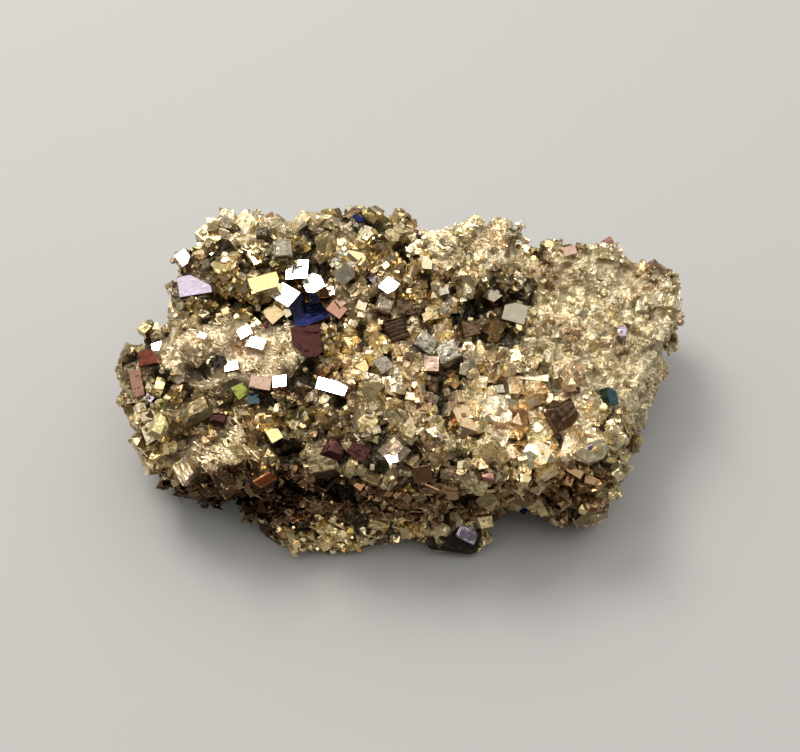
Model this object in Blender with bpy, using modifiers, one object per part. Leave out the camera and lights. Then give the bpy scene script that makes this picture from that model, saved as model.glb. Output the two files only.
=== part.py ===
"""A pyrite specimen: one hand-sized lump of grown-together pyrite that rests on a broken, flat underside.

Everything is one natural solid. Its form is made in four steps:
  1. flat outlines are raised into slabs, one for each lobe, ridge and ledge, and fused into a rough block;
  2. the block is hollowed where the lump has vugs and clefts, and its faces are broken up into chips;
  3. it is cut flat where it stands;
  4. cubic crystals are set on it and fused with it: the large ones in chosen places, the small ones by rule.

Run it with: blender --background --python part.py
"""

import math
import random
from dataclasses import dataclass

import bmesh
import bpy
from mathutils import Euler, Matrix, Vector, noise

MM = 0.001

NAME = "pyrite_specimen"

# The slabs, hollows and large crystals are drawn in millimetres, with the middle of the lump here.
DRAWN_MIDDLE = (0.25, 0.45)
FOOT = -0.3  # the lobes that it stands on start this far below the resting plane, where it is cut flat

# Driving dimensions of the block, in metres.
WELD = 0.001 * MM  # points closer than this are one point
VOXEL = 0.8 * MM  # grain of the fused block before it is thinned out
BODY_TRIANGLES = 2600  # what the block is thinned to before the crystals go on

# Broken relief: each octave is (size of its chips, how far it moves the surface).
CHIP_OCTAVES = ((11.0 * MM, 1.3 * MM), (5.0 * MM, 1.1 * MM), (2.6 * MM, 0.45 * MM))
CHIP_TILT = 2.2  # how steep the chips lie
SWELL = 0.25 * MM  # the surface's mean movement outwards
TILT_KEY, LEVEL_KEY = 51.7, 83.1  # each gives a chip its own random number
HOLLOW_RISE = 1.6  # hollows fade out on walls whose normals rise less than 1 in this

# The block that cuts the underside flat.
CUTTER_EDGE = 0.2

# The scattered crystals.
SEED = 13
CRYSTAL_COUNT = 155
TRIES_EACH = 40  # places tried for each crystal
CRYSTAL_EDGE = (1.8 * MM, 3.5 * MM)
CRYSTAL_SPACING = 2.7 * MM
CRYSTAL_PROUD = (-0.12, 0.2)  # share of the edge by which centres stand out of the walls and of the top
CLEAR_OF_FLOOR = 2.6 * MM  # no scattered crystal is centred lower than this
STEEPEST_UNDERSIDE = -0.75  # nor where the block's normal points further down than this


@dataclass(frozen=True)
class Slab:
    """A lobe or ledge of the lump: an outline raised from bottom to top, all in millimetres.

    lean is the rise of its top face per millimetre along X and along Y.
    """

    outline: tuple
    bottom: float
    top: float
    lean: tuple = (0.0, 0.0)


@dataclass(frozen=True)
class Hollow:
    """A rounded pit in the top: where it is, its half sizes along X and Y, its turn in degrees and its depth."""

    x: float
    y: float
    half_x: float
    half_y: float
    turn: float
    depth: float


@dataclass(frozen=True)
class Crystal:
    """A block-shaped crystal, in millimetres and degrees.

    tip is the middle of its outer face and edges are that face's two edges and the crystal's depth.
    lean is how far the outer face's normal leans along X and Y for each 1 that it rises, and spin turns the
    crystal about that normal.
    """

    tip: tuple
    edges: tuple
    lean: tuple
    spin: float


SLABS = {
    "foot": Slab(
        ((-20, -18), (-8, -19), (4, -19.5), (12.5, -18), (16, -14.5), (20, -15.5), (27.5, -17), (30, -13),
         (31.5, -7.5), (34, -1), (36, 5), (37.5, 11), (35.5, 15.5), (30, 18), (14, 18), (0, 19),
         (-15, 19.5), (-27, 17.5), (-31, 13), (-30, 6), (-36, 1), (-36, -4), (-28, -9), (-24, -13)),
        FOOT, 11.0,
    ),
    "front_ledge": Slab(
        ((-21.8, -18), (-20.5, -19.8), (-12, -20.4), (-3, -20.9), (4, -21), (11, -20.4), (12.3, -17.5),
         (10, -13), (-20, -13)),
        FOOT, 13.5, (0.0, 0.35),
    ),
    "front_crystal": Slab(((4.6, -17), (5.4, -22), (12.2, -21.2), (12.4, -17)), FOOT, 4.8, (0.04, 0.0)),
    "middle": Slab(
        ((-38, -7), (-36.5, -10.5), (-33.5, -13.5), (-28, -15.5), (-18, -16), (-8, -16.6), (4, -17), (14, -16.5),
         (20, -17), (30, -15.5), (32, -10), (35, -3), (38, 3), (40.4, 10), (40, 15), (34, 18.5),
         (20, 18), (0, 20), (-18, 20.5), (-30.5, 17.5), (-34, 12), (-34, 7.6), (-38.5, 4), (-40.6, 0),
         (-39.2, -3)),
        6.5, 17.0,
    ),
    "back_ridge": Slab(
        ((-29.4, 19.4), (-25.5, 20.8), (-20, 21.4), (-12, 21), (-7, 21.8), (1, 20.8), (9, 20.4), (15.6, 20.3),
         (17.5, 17), (16.5, 11), (8, 8), (-8, 9), (-20, 11), (-30, 12)),
        12.0, 21.6, (0.01, 0.26),
    ),
    "upper_left": Slab(
        ((-34.2, 11.5), (-34, 15.4), (-32, 18), (-27.5, 21), (-20, 20), (-16, 13), (-22, 9.5)),
        12.5, 19.2, (0.0, 0.22),
    ),
    "saddle": Slab(
        ((-24, 4), (-24, 12), (-4, 14), (15, 12), (22, 2), (14, -6), (-6, -5), (-14, 1)),
        12.0, 21.2, (0.0, 0.08),
    ),
    "left_lobe": Slab(
        ((-41, -1.5), (-40.6, 1.5), (-38, 4.6), (-33, 6.6), (-24, 7), (-14, 3.5), (-8.5, -1.5), (-8, -5.5),
         (-16, -6.5), (-26, -4), (-36, -4.5)),
        9.0, 23.0, (0.09, 0.22),
    ),
    "lower_left": Slab(
        ((-38, -7.5), (-37, -4.8), (-28, -3.5), (-16, -5.5), (-10.5, -11.5), (-13, -16.6), (-22, -17),
         (-30, -16.8), (-34, -14.4), (-36.4, -11)),
        5.0, 21.5, (0.05, 0.34),
    ),
    "centre_front": Slab(
        ((-14, -16.6), (-13, -8), (-6, -2), (8, 1), (22, -3), (31, -8), (30.8, -14.5), (25, -17), (14, -17.6),
         (4, -18.4), (-6, -18)),
        12.5, 23.6, (-0.04, 0.22),
    ),
    "right_lobe": Slab(
        ((19.5, 20.8), (24, 20.8), (29, 21), (33.5, 20.6), (38, 18.6), (42.8, 16.2), (42.2, 13), (40.6, 6),
         (38, 0.5), (34.6, -4.5), (31.5, -9), (22, -8), (17.5, 6)),
        7.5, 22.4, (-0.08, 0.0),
    ),
    "right_foot": Slab(
        ((21.5, -17.2), (24.5, -18.8), (29, -19), (31, -15.5), (29.5, -8), (20, -9)),
        FOOT, 13.0,
    ),
}

HOLLOWS = (
    Hollow(-16.5, 7.5, 9.5, 3.4, -8, 4.2),  # the open druse at the left, where the largest cubes stand
    Hollow(-28, 9.4, 6.5, 1.7, 8, 5.0),  # the cleft under the upper left ledge
    Hollow(13.6, 9.6, 3.6, 2.6, 30, 7.5),  # the deep vug beside the right lobe
    Hollow(-9.6, 1.6, 1.9, 3.8, -20, 4.6),  # the cleft in front of the dark cube
    Hollow(-14.5, -8.6, 6.5, 1.5, 26, 4.4),  # the crack across the left front
    Hollow(18.6, 14.0, 1.7, 6.0, 8, 5.0),  # the step between the back ridge and the right lobe
    Hollow(-1.5, 4.2, 4.2, 2.0, -25, 2.8),
    Hollow(26, 3.2, 4.0, 1.4, 30, 2.2),
    Hollow(-27.5, -2.0, 6.0, 1.5, 0, 2.6),
    Hollow(19.4, 6.0, 1.6, 1.8, 0, 3.6),
    Hollow(20.5, -5.6, 2.4, 1.8, -20, 2.2),
)

# Faces with this lean lie like one another: much of the druse grew in step.
EVEN = (-0.2, -0.03)

LARGE_CRYSTALS = {
    # The upper left ledge and the open druse in front of it.
    "ledge_plate": Crystal((-31.4, 11.2, 22.2), (6.0, 4.6, 2.6), (0.05, -0.12), 12),
    "ledge_tip": Crystal((-33.2, 16.2, 22.8), (2.4, 3.4, 3.2), (-0.25, 0.1), 35),
    "left_plate": Crystal((-20.3, 9.3, 26.2), (4.5, 3.2, 3.6), EVEN, 20),
    "left_brick": Crystal((-17.4, 8.9, 24.2), (3.9, 2.6, 3.4), EVEN, -38),
    "pair_square": Crystal((-15.2, 12.2, 25.8), (3.3, 3.4, 3.4), EVEN, -3),
    "pair_turned": Crystal((-12.9, 10.2, 25.2), (2.8, 3.2, 3.6), EVEN, 25),
    "druse_small": Crystal((-10.6, 9.8, 23.6), (1.9, 1.7, 2.6), EVEN, 10),
    "druse_tan": Crystal((-18.8, 7.6, 21.4), (3.3, 2.6, 4.4), (-0.02, -0.25), 42),
    "druse_chip": Crystal((-16.7, 7.4, 21.6), (1.9, 1.6, 4.4), EVEN, 30),
    "dark_block": Crystal((-13.3, 6.8, 22.4), (5.3, 4.2, 5.4), (0.0, 0.14), 27),
    "druse_rose": Crystal((-9.9, 7.6, 22.2), (3.0, 2.4, 3.8), (0.12, -0.2), -35),
    "druse_pink": Crystal((-8.7, 8.6, 22.8), (1.6, 1.7, 3.6), (0.2, -0.1), -50),
    "ridge_grey": Crystal((-18.3, 14.0, 28.0), (4.2, 3.4, 3.4), (0.1, -0.3), 8),
    "ridge_foot": Crystal((-8.2, 13.0, 26.6), (3.8, 3.4, 3.6), (-0.25, -0.4), 30),
    "ridge_top": Crystal((-6.4, 19.6, 28.6), (2.4, 2.2, 3.0), (0.1, -0.2), 15),
    # The middle of the top.
    "middle_bright": Crystal((-1.6, 9.0, 26.4), (2.6, 2.9, 3.6), EVEN, 48),
    "middle_grey": Crystal((-2.2, 7.2, 24.2), (2.8, 2.6, 3.4), (-0.1, -0.3), -20),
    "middle_brown": Crystal((0.8, 7.2, 23.4), (3.0, 2.6, 3.4), (0.4, -0.4), 12),
    "ribbed_cube": Crystal((-0.4, 3.6, 23.0), (3.6, 3.8, 4.6), (0.35, -0.1), 28),
    "stair_low": Crystal((3.8, 0.6, 24.2), (3.6, 3.0, 3.6), (0.1, -0.35), -32),
    "stair_high": Crystal((6.9, -1.6, 25.4), (3.6, 3.2, 3.6), (0.0, -0.3), 24),
    "stair_front": Crystal((4.5, -3.2, 24.6), (2.5, 2.6, 3.0), (-0.1, -0.2), -4),
    "middle_left": Crystal((-2.4, -3.0, 24.2), (2.6, 2.6, 3.0), (0.3, -0.2), 40),
    "middle_right": Crystal((10.4, 3.8, 23.0), (2.8, 2.5, 3.4), (0.2, -0.4), 15),
    "vug_cube": Crystal((16.9, 6.0, 23.8), (4.0, 3.4, 4.6), (0.1, -0.3), -14),
    "vug_lining": Crystal((13.4, 9.2, 22.8), (2.4, 3.0, 3.6), (-0.4, -0.3), 30),
    "behind_stair": Crystal((15.2, -2.2, 23.8), (2.8, 2.4, 3.0), (0.25, -0.2), 33),
    # The left lobe.
    "lobe_white": Crystal((-22.8, 3.6, 22.4), (2.5, 2.2, 3.0), EVEN, 28),
    "lobe_lilac": Crystal((-21.1, 1.9, 22.0), (3.3, 2.3, 3.2), (-0.12, -0.1), -18),
    "lobe_back": Crystal((-29.0, 2.5, 22.9), (1.7, 1.6, 2.4), EVEN, 40),
    "lobe_red": Crystal((-37.0, 0.0, 21.0), (3.4, 2.6, 3.4), (-0.3, -0.25), 5),
    "lobe_side": Crystal((-38.7, -3.0, 18.6), (2.2, 4.6, 3.8), (-0.35, -0.5), 8),
    "lobe_rim": Crystal((-35.8, 1.8, 21.0), (1.8, 1.8, 2.6), EVEN, 12),
    "lobe_spark": Crystal((-24.6, -1.7, 21.4), (2.4, 1.8, 3.0), EVEN, 8),
    "lobe_square": Crystal((-17.3, -5.3, 22.7), (2.5, 2.3, 3.0), EVEN, 3),
    "lobe_bar": Crystal((-9.8, -6.4, 23.7), (5.6, 2.2, 3.4), EVEN, -22),
    "lobe_green": Crystal((-23.8, -4.8, 19.4), (2.6, 2.9, 3.4), (0.25, -0.35), 38),
    "lobe_teal": Crystal((-21.8, -5.6, 19.2), (2.0, 1.8, 3.2), (0.1, -0.3), 10),
    # The lower left lobe and the front.
    "corner_bright": Crystal((-34.6, -10.4, 19.0), (3.2, 4.4, 4.2), (-0.35, -0.2), -28),
    "corner_low": Crystal((-36.6, -11.4, 15.6), (3.4, 3.2, 3.8), (-0.6, -0.5), 20),
    "crack_yellow": Crystal((-18.5, -10.8, 18.2), (2.8, 2.4, 4.2), EVEN, 32),
    "front_grey": Crystal((-11.3, -16.4, 20.8), (4.2, 3.6, 4.4), (0.1, -0.35), 12),
    "front_orange": Crystal((-19.5, -17.4, 15.6), (4.4, 3.0, 4.0), (0.15, -0.8), 22),
    "front_round": Crystal((4.5, -14.3, 21.6), (4.6, 4.2, 4.4), (0.15, -0.4), 35),
    "front_peak": Crystal((-0.8, -16.0, 21.8), (3.4, 3.6, 4.0), (-0.1, -0.35), 44),
    "front_low": Crystal((3.2, -18.4, 19.8), (3.0, 2.8, 3.8), (0.1, -0.9), 10),
    "front_ribbed": Crystal((23.3, -10.2, 22.0), (5.0, 4.2, 4.4), (0.3, -0.35), 30),
    "front_lump": Crystal((24.9, -14.6, 20.2), (4.6, 3.6, 4.4), (-0.1, -0.3), -18),
    "front_teal": Crystal((30.4, -7.2, 22.4), (1.8, 3.0, 3.2), (0.5, -0.3), 15),
    # The right lobe.
    "right_lilac": Crystal((34.6, 2.6, 19.9), (2.4, 2.2, 2.8), (-0.1, -0.1), 35),
    "right_lump": Crystal((34.4, 8.6, 20.4), (4.4, 3.8, 4.0), (0.1, -0.2), 22),
    "right_back": Crystal((32.2, 19.2, 20.6), (3.8, 2.6, 3.2), (0.0, -0.1), -4),
    "right_rose": Crystal((24.6, 19.0, 21.6), (2.4, 2.0, 2.8), (0.1, -0.2), 18),
    "right_tip": Crystal((40.4, 15.6, 19.4), (5.0, 3.0, 3.6), (0.1, -0.2), -24),
}


def clear_scene():
    """Removes whatever the file opened with."""
    for obj in list(bpy.data.objects):
        bpy.data.objects.remove(obj, do_unlink=True)


def new_collection(name):
    """A collection linked to the scene."""
    collection = bpy.data.collections.new(name)
    bpy.context.scene.collection.children.link(collection)
    return collection


def new_object(name, bm, collection):
    """Turns a bmesh into an object in the collection."""
    mesh = bpy.data.meshes.new(name)
    bm.to_mesh(mesh)
    bm.free()
    obj = bpy.data.objects.new(name, mesh)
    collection.objects.link(obj)
    return obj


def bake(obj):
    """Replaces the object's mesh by what its modifiers make of it."""
    bpy.context.view_layer.update()
    graph = bpy.context.evaluated_depsgraph_get()
    baked = bpy.data.meshes.new_from_object(obj.evaluated_get(graph))
    obj.modifiers.clear()
    old = obj.data
    obj.data = baked
    bpy.data.meshes.remove(old)
    return obj


def flat_curve(outline, thickness):
    """A filled 2-D curve round the outline, given in millimetres, with its middle at the origin."""
    curve = bpy.data.curves.new("outline", "CURVE")
    curve.dimensions = "2D"
    curve.fill_mode = "BOTH"
    curve.extrude = thickness / 2.0
    spline = curve.splines.new("POLY")
    spline.points.add(len(outline) - 1)
    for point, (x, y) in zip(spline.points, outline):
        point.co = (x * MM, y * MM, 0.0, 1.0)
    spline.use_cyclic_u = True
    return curve


def raise_slab(bm, slab):
    """Adds one slab to the bmesh: a thick outline whose top is tilted."""
    thickness = (slab.top - slab.bottom) * MM
    curve = flat_curve(slab.outline, thickness)
    guide = bpy.data.objects.new("slab", curve)
    mesh = bpy.data.meshes.new_from_object(guide)
    mesh.transform(Matrix.Translation((0.0, 0.0, slab.bottom * MM + thickness / 2.0)))
    for vert in mesh.vertices:
        if vert.co.z > slab.bottom * MM + thickness / 2.0:
            vert.co.z += slab.lean[0] * vert.co.x + slab.lean[1] * vert.co.y
    bm.from_mesh(mesh)
    bpy.data.objects.remove(guide)
    bpy.data.curves.remove(curve)
    bpy.data.meshes.remove(mesh)


def fuse(block):
    """Makes one closed skin of whatever overlaps in the block."""
    skin = block.modifiers.new("skin", "REMESH")
    skin.mode = "VOXEL"
    skin.voxel_size = VOXEL
    return bake(block)


def rough_block(collection):
    """The slabs fused into one closed block."""
    bm = bmesh.new()
    for slab in SLABS.values():
        raise_slab(bm, slab)
    bmesh.ops.remove_doubles(bm, verts=bm.verts, dist=WELD)
    bmesh.ops.recalc_face_normals(bm, faces=bm.faces)
    return fuse(new_object(NAME, bm, collection))


def hollow_depth(point, hollow):
    """How far a hollow lowers the surface at a point: a smooth bowl inside its ellipse."""
    dx = point.x - hollow.x * MM
    dy = point.y - hollow.y * MM
    turn = math.radians(hollow.turn)
    along = (dx * math.cos(turn) + dy * math.sin(turn)) / (hollow.half_x * MM)
    across = (dy * math.cos(turn) - dx * math.sin(turn)) / (hollow.half_y * MM)
    far = along * along + across * across
    return hollow.depth * MM * (1.0 - far) ** 2 if far < 1.0 else 0.0


def chip_relief(point):
    """Movement of the surface along its normal: flat chips in a few sizes, each one tilted its own way."""
    total = SWELL
    for size, move in CHIP_OCTAVES:
        at = point / size
        seed = noise.voronoi(at)[1][0]
        tilt = noise.cell_vector(seed * TILT_KEY) - Vector((0.5, 0.5, 0.5))
        level = 0.5 * noise.cell(seed * LEVEL_KEY)
        total += move * (level + CHIP_TILT * tilt.dot(at - seed))
    return total


def break_up(block):
    """Hollows the top and breaks every face into chips."""
    mesh = block.data
    normals = [vert.normal.copy() for vert in mesh.vertices]
    for vert, normal in zip(mesh.vertices, normals):
        point = vert.co.copy()
        facing_up = max(0.0, normal.z)
        sink = sum(hollow_depth(point, hollow) for hollow in HOLLOWS) * min(1.0, HOLLOW_RISE * facing_up)
        vert.co = point + normal * chip_relief(point) - Vector((0.0, 0.0, sink))
    mesh.update()


def thin_out(block):
    """Merges the fine mesh into broad facets."""
    decimate = block.modifiers.new("facets", "DECIMATE")
    decimate.ratio = BODY_TRIANGLES / (2.0 * len(block.data.polygons))
    decimate.use_collapse_triangulate = True
    bake(block)


def cut_flat(block, helpers):
    """Cuts the underside off at the resting plane."""
    bm = bmesh.new()
    below = Matrix.Translation((0.0, 0.0, -CUTTER_EDGE / 2.0))
    bmesh.ops.create_cube(bm, size=CUTTER_EDGE, matrix=below)
    floor = new_object("floor_cutter", bm, helpers)
    floor.hide_render = True
    floor.display_type = "WIRE"
    cut = block.modifiers.new("rest", "BOOLEAN")
    cut.operation = "DIFFERENCE"
    cut.object = floor
    bake(block)


def surface_samples(mesh, count, rng):
    """Random points of the mesh with their facets' normals, spread evenly by area."""
    mesh.calc_loop_triangles()
    triangles = mesh.loop_triangles
    chosen = rng.choices(range(len(triangles)), weights=[t.area for t in triangles], k=count)
    for index in chosen:
        a, b, c = (mesh.vertices[i].co for i in triangles[index].vertices)
        u, v = rng.random(), rng.random()
        if u + v > 1.0:
            u, v = 1.0 - u, 1.0 - v
        yield a + (b - a) * u + (c - a) * v, triangles[index].normal


def scattered_crystals(mesh, chosen):
    """Crystals set on the block by rule, clear of the chosen ones, of one another and of the floor."""
    rng = random.Random(SEED)
    taken = [centre for centre, _, _ in chosen]
    placed = []
    low, high = CRYSTAL_PROUD
    for point, normal in surface_samples(mesh, CRYSTAL_COUNT * TRIES_EACH, rng):
        if len(placed) == CRYSTAL_COUNT:
            break
        edge = rng.triangular(*CRYSTAL_EDGE, CRYSTAL_EDGE[0])
        turn = Euler([rng.uniform(-math.pi, math.pi) for _ in range(3)]).to_matrix()
        stretch = Vector((1.0, rng.uniform(0.75, 1.1), rng.uniform(0.7, 1.1)))
        centre = point + normal * (edge * (low + (high - low) * max(0.0, normal.z)))
        if centre.z < CLEAR_OF_FLOOR or normal.z < STEEPEST_UNDERSIDE:
            continue
        if any((centre - other).length < CRYSTAL_SPACING for other in taken):
            continue
        taken.append(centre)
        placed.append((centre, turn, stretch * edge))
    return placed


def chosen_crystals():
    """The large crystals, as (centre, turn, edges) in metres."""
    placed = []
    for crystal in LARGE_CRYSTALS.values():
        facing = Vector((*crystal.lean, 1.0)).normalized()
        upright = Vector((0.0, 0.0, 1.0)).rotation_difference(facing)
        turn = upright.to_matrix() @ Matrix.Rotation(math.radians(crystal.spin), 3, "Z")
        edges = Vector(crystal.edges) * MM
        placed.append((Vector(crystal.tip) * MM - facing * (edges.z / 2.0), turn, edges))
    return placed


def set_crystals(block, crystals, helpers):
    """Fuses block-shaped crystals with the block."""
    bm = bmesh.new()
    for centre, turn, edges in crystals:
        matrix = Matrix.Translation(centre) @ turn.to_4x4() @ Matrix.Diagonal((*edges, 1.0))
        bmesh.ops.create_cube(bm, size=1.0, matrix=matrix)
    cubes = new_object("crystals", bm, helpers)
    cubes.hide_render = True
    cubes.display_type = "WIRE"
    grow = block.modifiers.new("crystals", "BOOLEAN")
    grow.operation = "UNION"
    grow.object = cubes
    grow.use_self = True
    bake(block)


def keep_largest_shell(mesh):
    """Drops every separate shell but the largest, such as a void closed in by crystals."""
    bm = bmesh.new()
    bm.from_mesh(mesh)
    unseen = set(bm.verts)
    shells = []
    while unseen:
        shell = set()
        front = [unseen.pop()]
        while front:
            vert = front.pop()
            shell.add(vert)
            for edge in vert.link_edges:
                other = edge.other_vert(vert)
                if other in unseen:
                    unseen.remove(other)
                    front.append(other)
        shells.append(shell)
    largest = max(shells, key=len)
    loose = [vert for shell in shells if shell is not largest for vert in shell]
    bmesh.ops.delete(bm, geom=loose, context="VERTS")
    bmesh.ops.triangulate(bm, faces=bm.faces)
    bm.to_mesh(mesh)
    bm.free()


def set_over_origin(mesh):
    """Moves the lump level until the drawn middle of its length and width is over the origin."""
    mesh.transform(Matrix.Translation((-DRAWN_MIDDLE[0] * MM, -DRAWN_MIDDLE[1] * MM, 0.0)))


def pyrite():
    """Pale brass-yellow metal with a slightly dull lustre."""
    material = bpy.data.materials.new("pyrite")
    material.use_nodes = True
    shader = material.node_tree.nodes["Principled BSDF"]
    shader.inputs["Base Color"].default_value = (0.58, 0.47, 0.29, 1.0)
    shader.inputs["Metallic"].default_value = 1.0
    shader.inputs["Roughness"].default_value = 0.3
    return material


def main():
    clear_scene()
    specimen = new_collection(NAME)
    helpers = new_collection("cutters")
    block = rough_block(specimen)
    break_up(block)
    fuse(block)
    thin_out(block)
    cut_flat(block, helpers)
    chosen = chosen_crystals()
    set_crystals(block, chosen + scattered_crystals(block.data, chosen), helpers)
    keep_largest_shell(block.data)
    set_over_origin(block.data)
    block.data.materials.append(pyrite())


main()
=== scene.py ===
"""Dresses the pyrite specimen: its massive body, large crystals and crust, then its floor, lights and camera.

Lengths are in metres unless a name ends in _mm. The body's relief and the crust are drawn from seeded random
numbers, so each run gives the same lump.
"""

import logging
import math
from dataclasses import dataclass, field
from enum import Enum, IntEnum

import bmesh
import bpy
import numpy as np
from mathutils import Matrix, Vector, kdtree, noise


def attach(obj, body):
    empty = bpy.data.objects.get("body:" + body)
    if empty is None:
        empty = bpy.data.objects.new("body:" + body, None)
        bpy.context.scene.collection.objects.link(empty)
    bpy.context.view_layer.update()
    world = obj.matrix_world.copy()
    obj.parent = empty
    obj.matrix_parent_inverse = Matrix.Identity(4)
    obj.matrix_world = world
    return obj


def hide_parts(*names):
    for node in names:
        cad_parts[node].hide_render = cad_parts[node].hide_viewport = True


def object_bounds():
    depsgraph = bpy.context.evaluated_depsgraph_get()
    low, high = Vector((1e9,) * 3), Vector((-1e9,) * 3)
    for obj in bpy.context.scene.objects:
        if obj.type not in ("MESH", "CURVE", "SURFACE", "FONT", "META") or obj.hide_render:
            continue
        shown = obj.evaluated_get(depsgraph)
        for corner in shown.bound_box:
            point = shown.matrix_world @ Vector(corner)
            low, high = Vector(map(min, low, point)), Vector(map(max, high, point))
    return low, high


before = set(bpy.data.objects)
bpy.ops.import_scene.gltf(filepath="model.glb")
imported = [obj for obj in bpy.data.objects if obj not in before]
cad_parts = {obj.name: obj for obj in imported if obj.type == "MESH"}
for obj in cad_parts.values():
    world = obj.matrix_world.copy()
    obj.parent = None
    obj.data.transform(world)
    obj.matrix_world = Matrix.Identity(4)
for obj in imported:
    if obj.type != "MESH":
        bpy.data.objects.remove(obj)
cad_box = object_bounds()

LOG = logging.getLogger("pyrite")
MM = 0.001
NOISE_SEED = 3  # a seed of 0 would be drawn from the clock
NODE = "pyrite_specimen"
BODY = "root"
DRAWN_MIDDLE = Vector((0.25, 0.45, 0.0)) * MM  # the large crystals are drawn from a middle that lies here


# ---- Shader graphs ----


@dataclass(frozen=True)
class Value:
    """A number or colour that varies over a surface: an output socket that can stand in Python sums."""

    graph: "Graph"
    socket: bpy.types.NodeSocket

    def __add__(self, other: "Value | float") -> "Value":
        """The sum of both."""
        return self.graph.maths("ADD", self, other)

    def __radd__(self, other: float) -> "Value":
        """The sum of both, with the number first."""
        return self.graph.maths("ADD", other, self)

    def __sub__(self, other: "Value | float") -> "Value":
        """This less the other."""
        return self.graph.maths("SUBTRACT", self, other)

    def __rsub__(self, other: float) -> "Value":
        """The number less this."""
        return self.graph.maths("SUBTRACT", other, self)

    def __mul__(self, other: "Value | float") -> "Value":
        """The product of both."""
        return self.graph.maths("MULTIPLY", self, other)

    def __rmul__(self, other: float) -> "Value":
        """The product of both, with the number first."""
        return self.graph.maths("MULTIPLY", other, self)


class Graph:
    """Builds a material's nodes."""

    def __init__(self, tree: bpy.types.NodeTree) -> None:
        """Starts on a tree.

        Args:
            tree: the material's node tree.
        """
        self.tree = tree

    def add(self, kind: str, inputs: dict | None = None, out: str | int = 0, **settings: object) -> Value:
        """Adds any node.

        Args:
            kind: the node's type, without its leading "ShaderNode".
            inputs: values or links for its sockets, by name or number.
            out: the output that is wanted.
            settings: the node's own properties, set before its sockets.

        Returns:
            The wanted output.
        """
        node = self.tree.nodes.new("ShaderNode" + kind)
        for name, setting in settings.items():
            setattr(node, name, setting)
        for name, given in (inputs or {}).items():
            if isinstance(given, Value):
                self.tree.links.new(given.socket, node.inputs[name])
            else:
                node.inputs[name].default_value = given
        return Value(self, node.outputs[out])

    def maths(self, operation: str, first: "Value | float", second: "Value | float" = 0.0) -> Value:
        """One Math node.

        Args:
            operation: the node's operation.
            first: its first input.
            second: its second input.

        Returns:
            The result.
        """
        return self.add("Math", {0: first, 1: second}, operation=operation)

    def blend(self, factor: "Value | float", first: "Value | tuple", second: "Value | tuple") -> Value:
        """Mixes two colours.

        Args:
            factor: the share of the second.
            first: the colour at 0.
            second: the colour at 1.

        Returns:
            The mixed colour.
        """
        return self.add("Mix", {0: factor, 6: first, 7: second}, out=2, data_type="RGBA")

    def scaled(self, vector: Value, factor: "Value | float") -> Value:
        """A colour or vector times a number."""
        return self.add("VectorMath", {0: vector, "Scale": factor}, operation="SCALE")

    def feed(self, value: Value, shader: bpy.types.Node, name: str) -> None:
        """Links a value to one of a shader's sockets."""
        self.tree.links.new(value.socket, shader.inputs[name])

    def step(self, value: Value, low: float, high: float) -> Value:
        """A smooth step from 0 at low to 1 at high."""
        return self.add("MapRange", {0: value, 1: low, 2: high}, interpolation_type="SMOOTHSTEP")

    def product(self, first: Value, second: tuple[float, float, float]) -> Value:
        """A colour or vector times another, channel by channel."""
        return self.add("VectorMath", {0: first, 1: second}, operation="MULTIPLY")


HALF = (0.5, 0.5, 0.5)  # the mean of a random colour
GRAIN_SCALE = 1.3 / MM  # of the fine noise that mottles the metal
MOTTLE = (0.8, 0.5)  # its brightness where that noise is 0, and how much is added where it is 1
ROUGH_MOTTLE = (0.6, 0.8)  # the same for its roughness
STAIN = (0.55, 0.36, 0.26)  # what brown stain leaves of red, green and blue
STAIN_SCALE = 0.15 / MM  # of the noise that the stain follows
STAIN_EDGE = (0.48, 0.66)  # the levels of that noise between which the stain sets in
GROWTH_LINES = (0.3 / MM, 0.7 / MM, 0.3 / MM)  # how fast a crystal's growth changes along its axes
LINE_STRENGTH = 0.6
MIRROR_LINES = 0.05  # how much of its growth lines a mirror face shows
STEPS = 7.0  # growth steps over the whole range
# The foot of each growth step and the edges between facets are darkened by painted shade.
STEP_FOOT = 0.2  # how much of a step its dark foot takes
SEAM_WIDTH = 0.07  # against the facets' size


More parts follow.
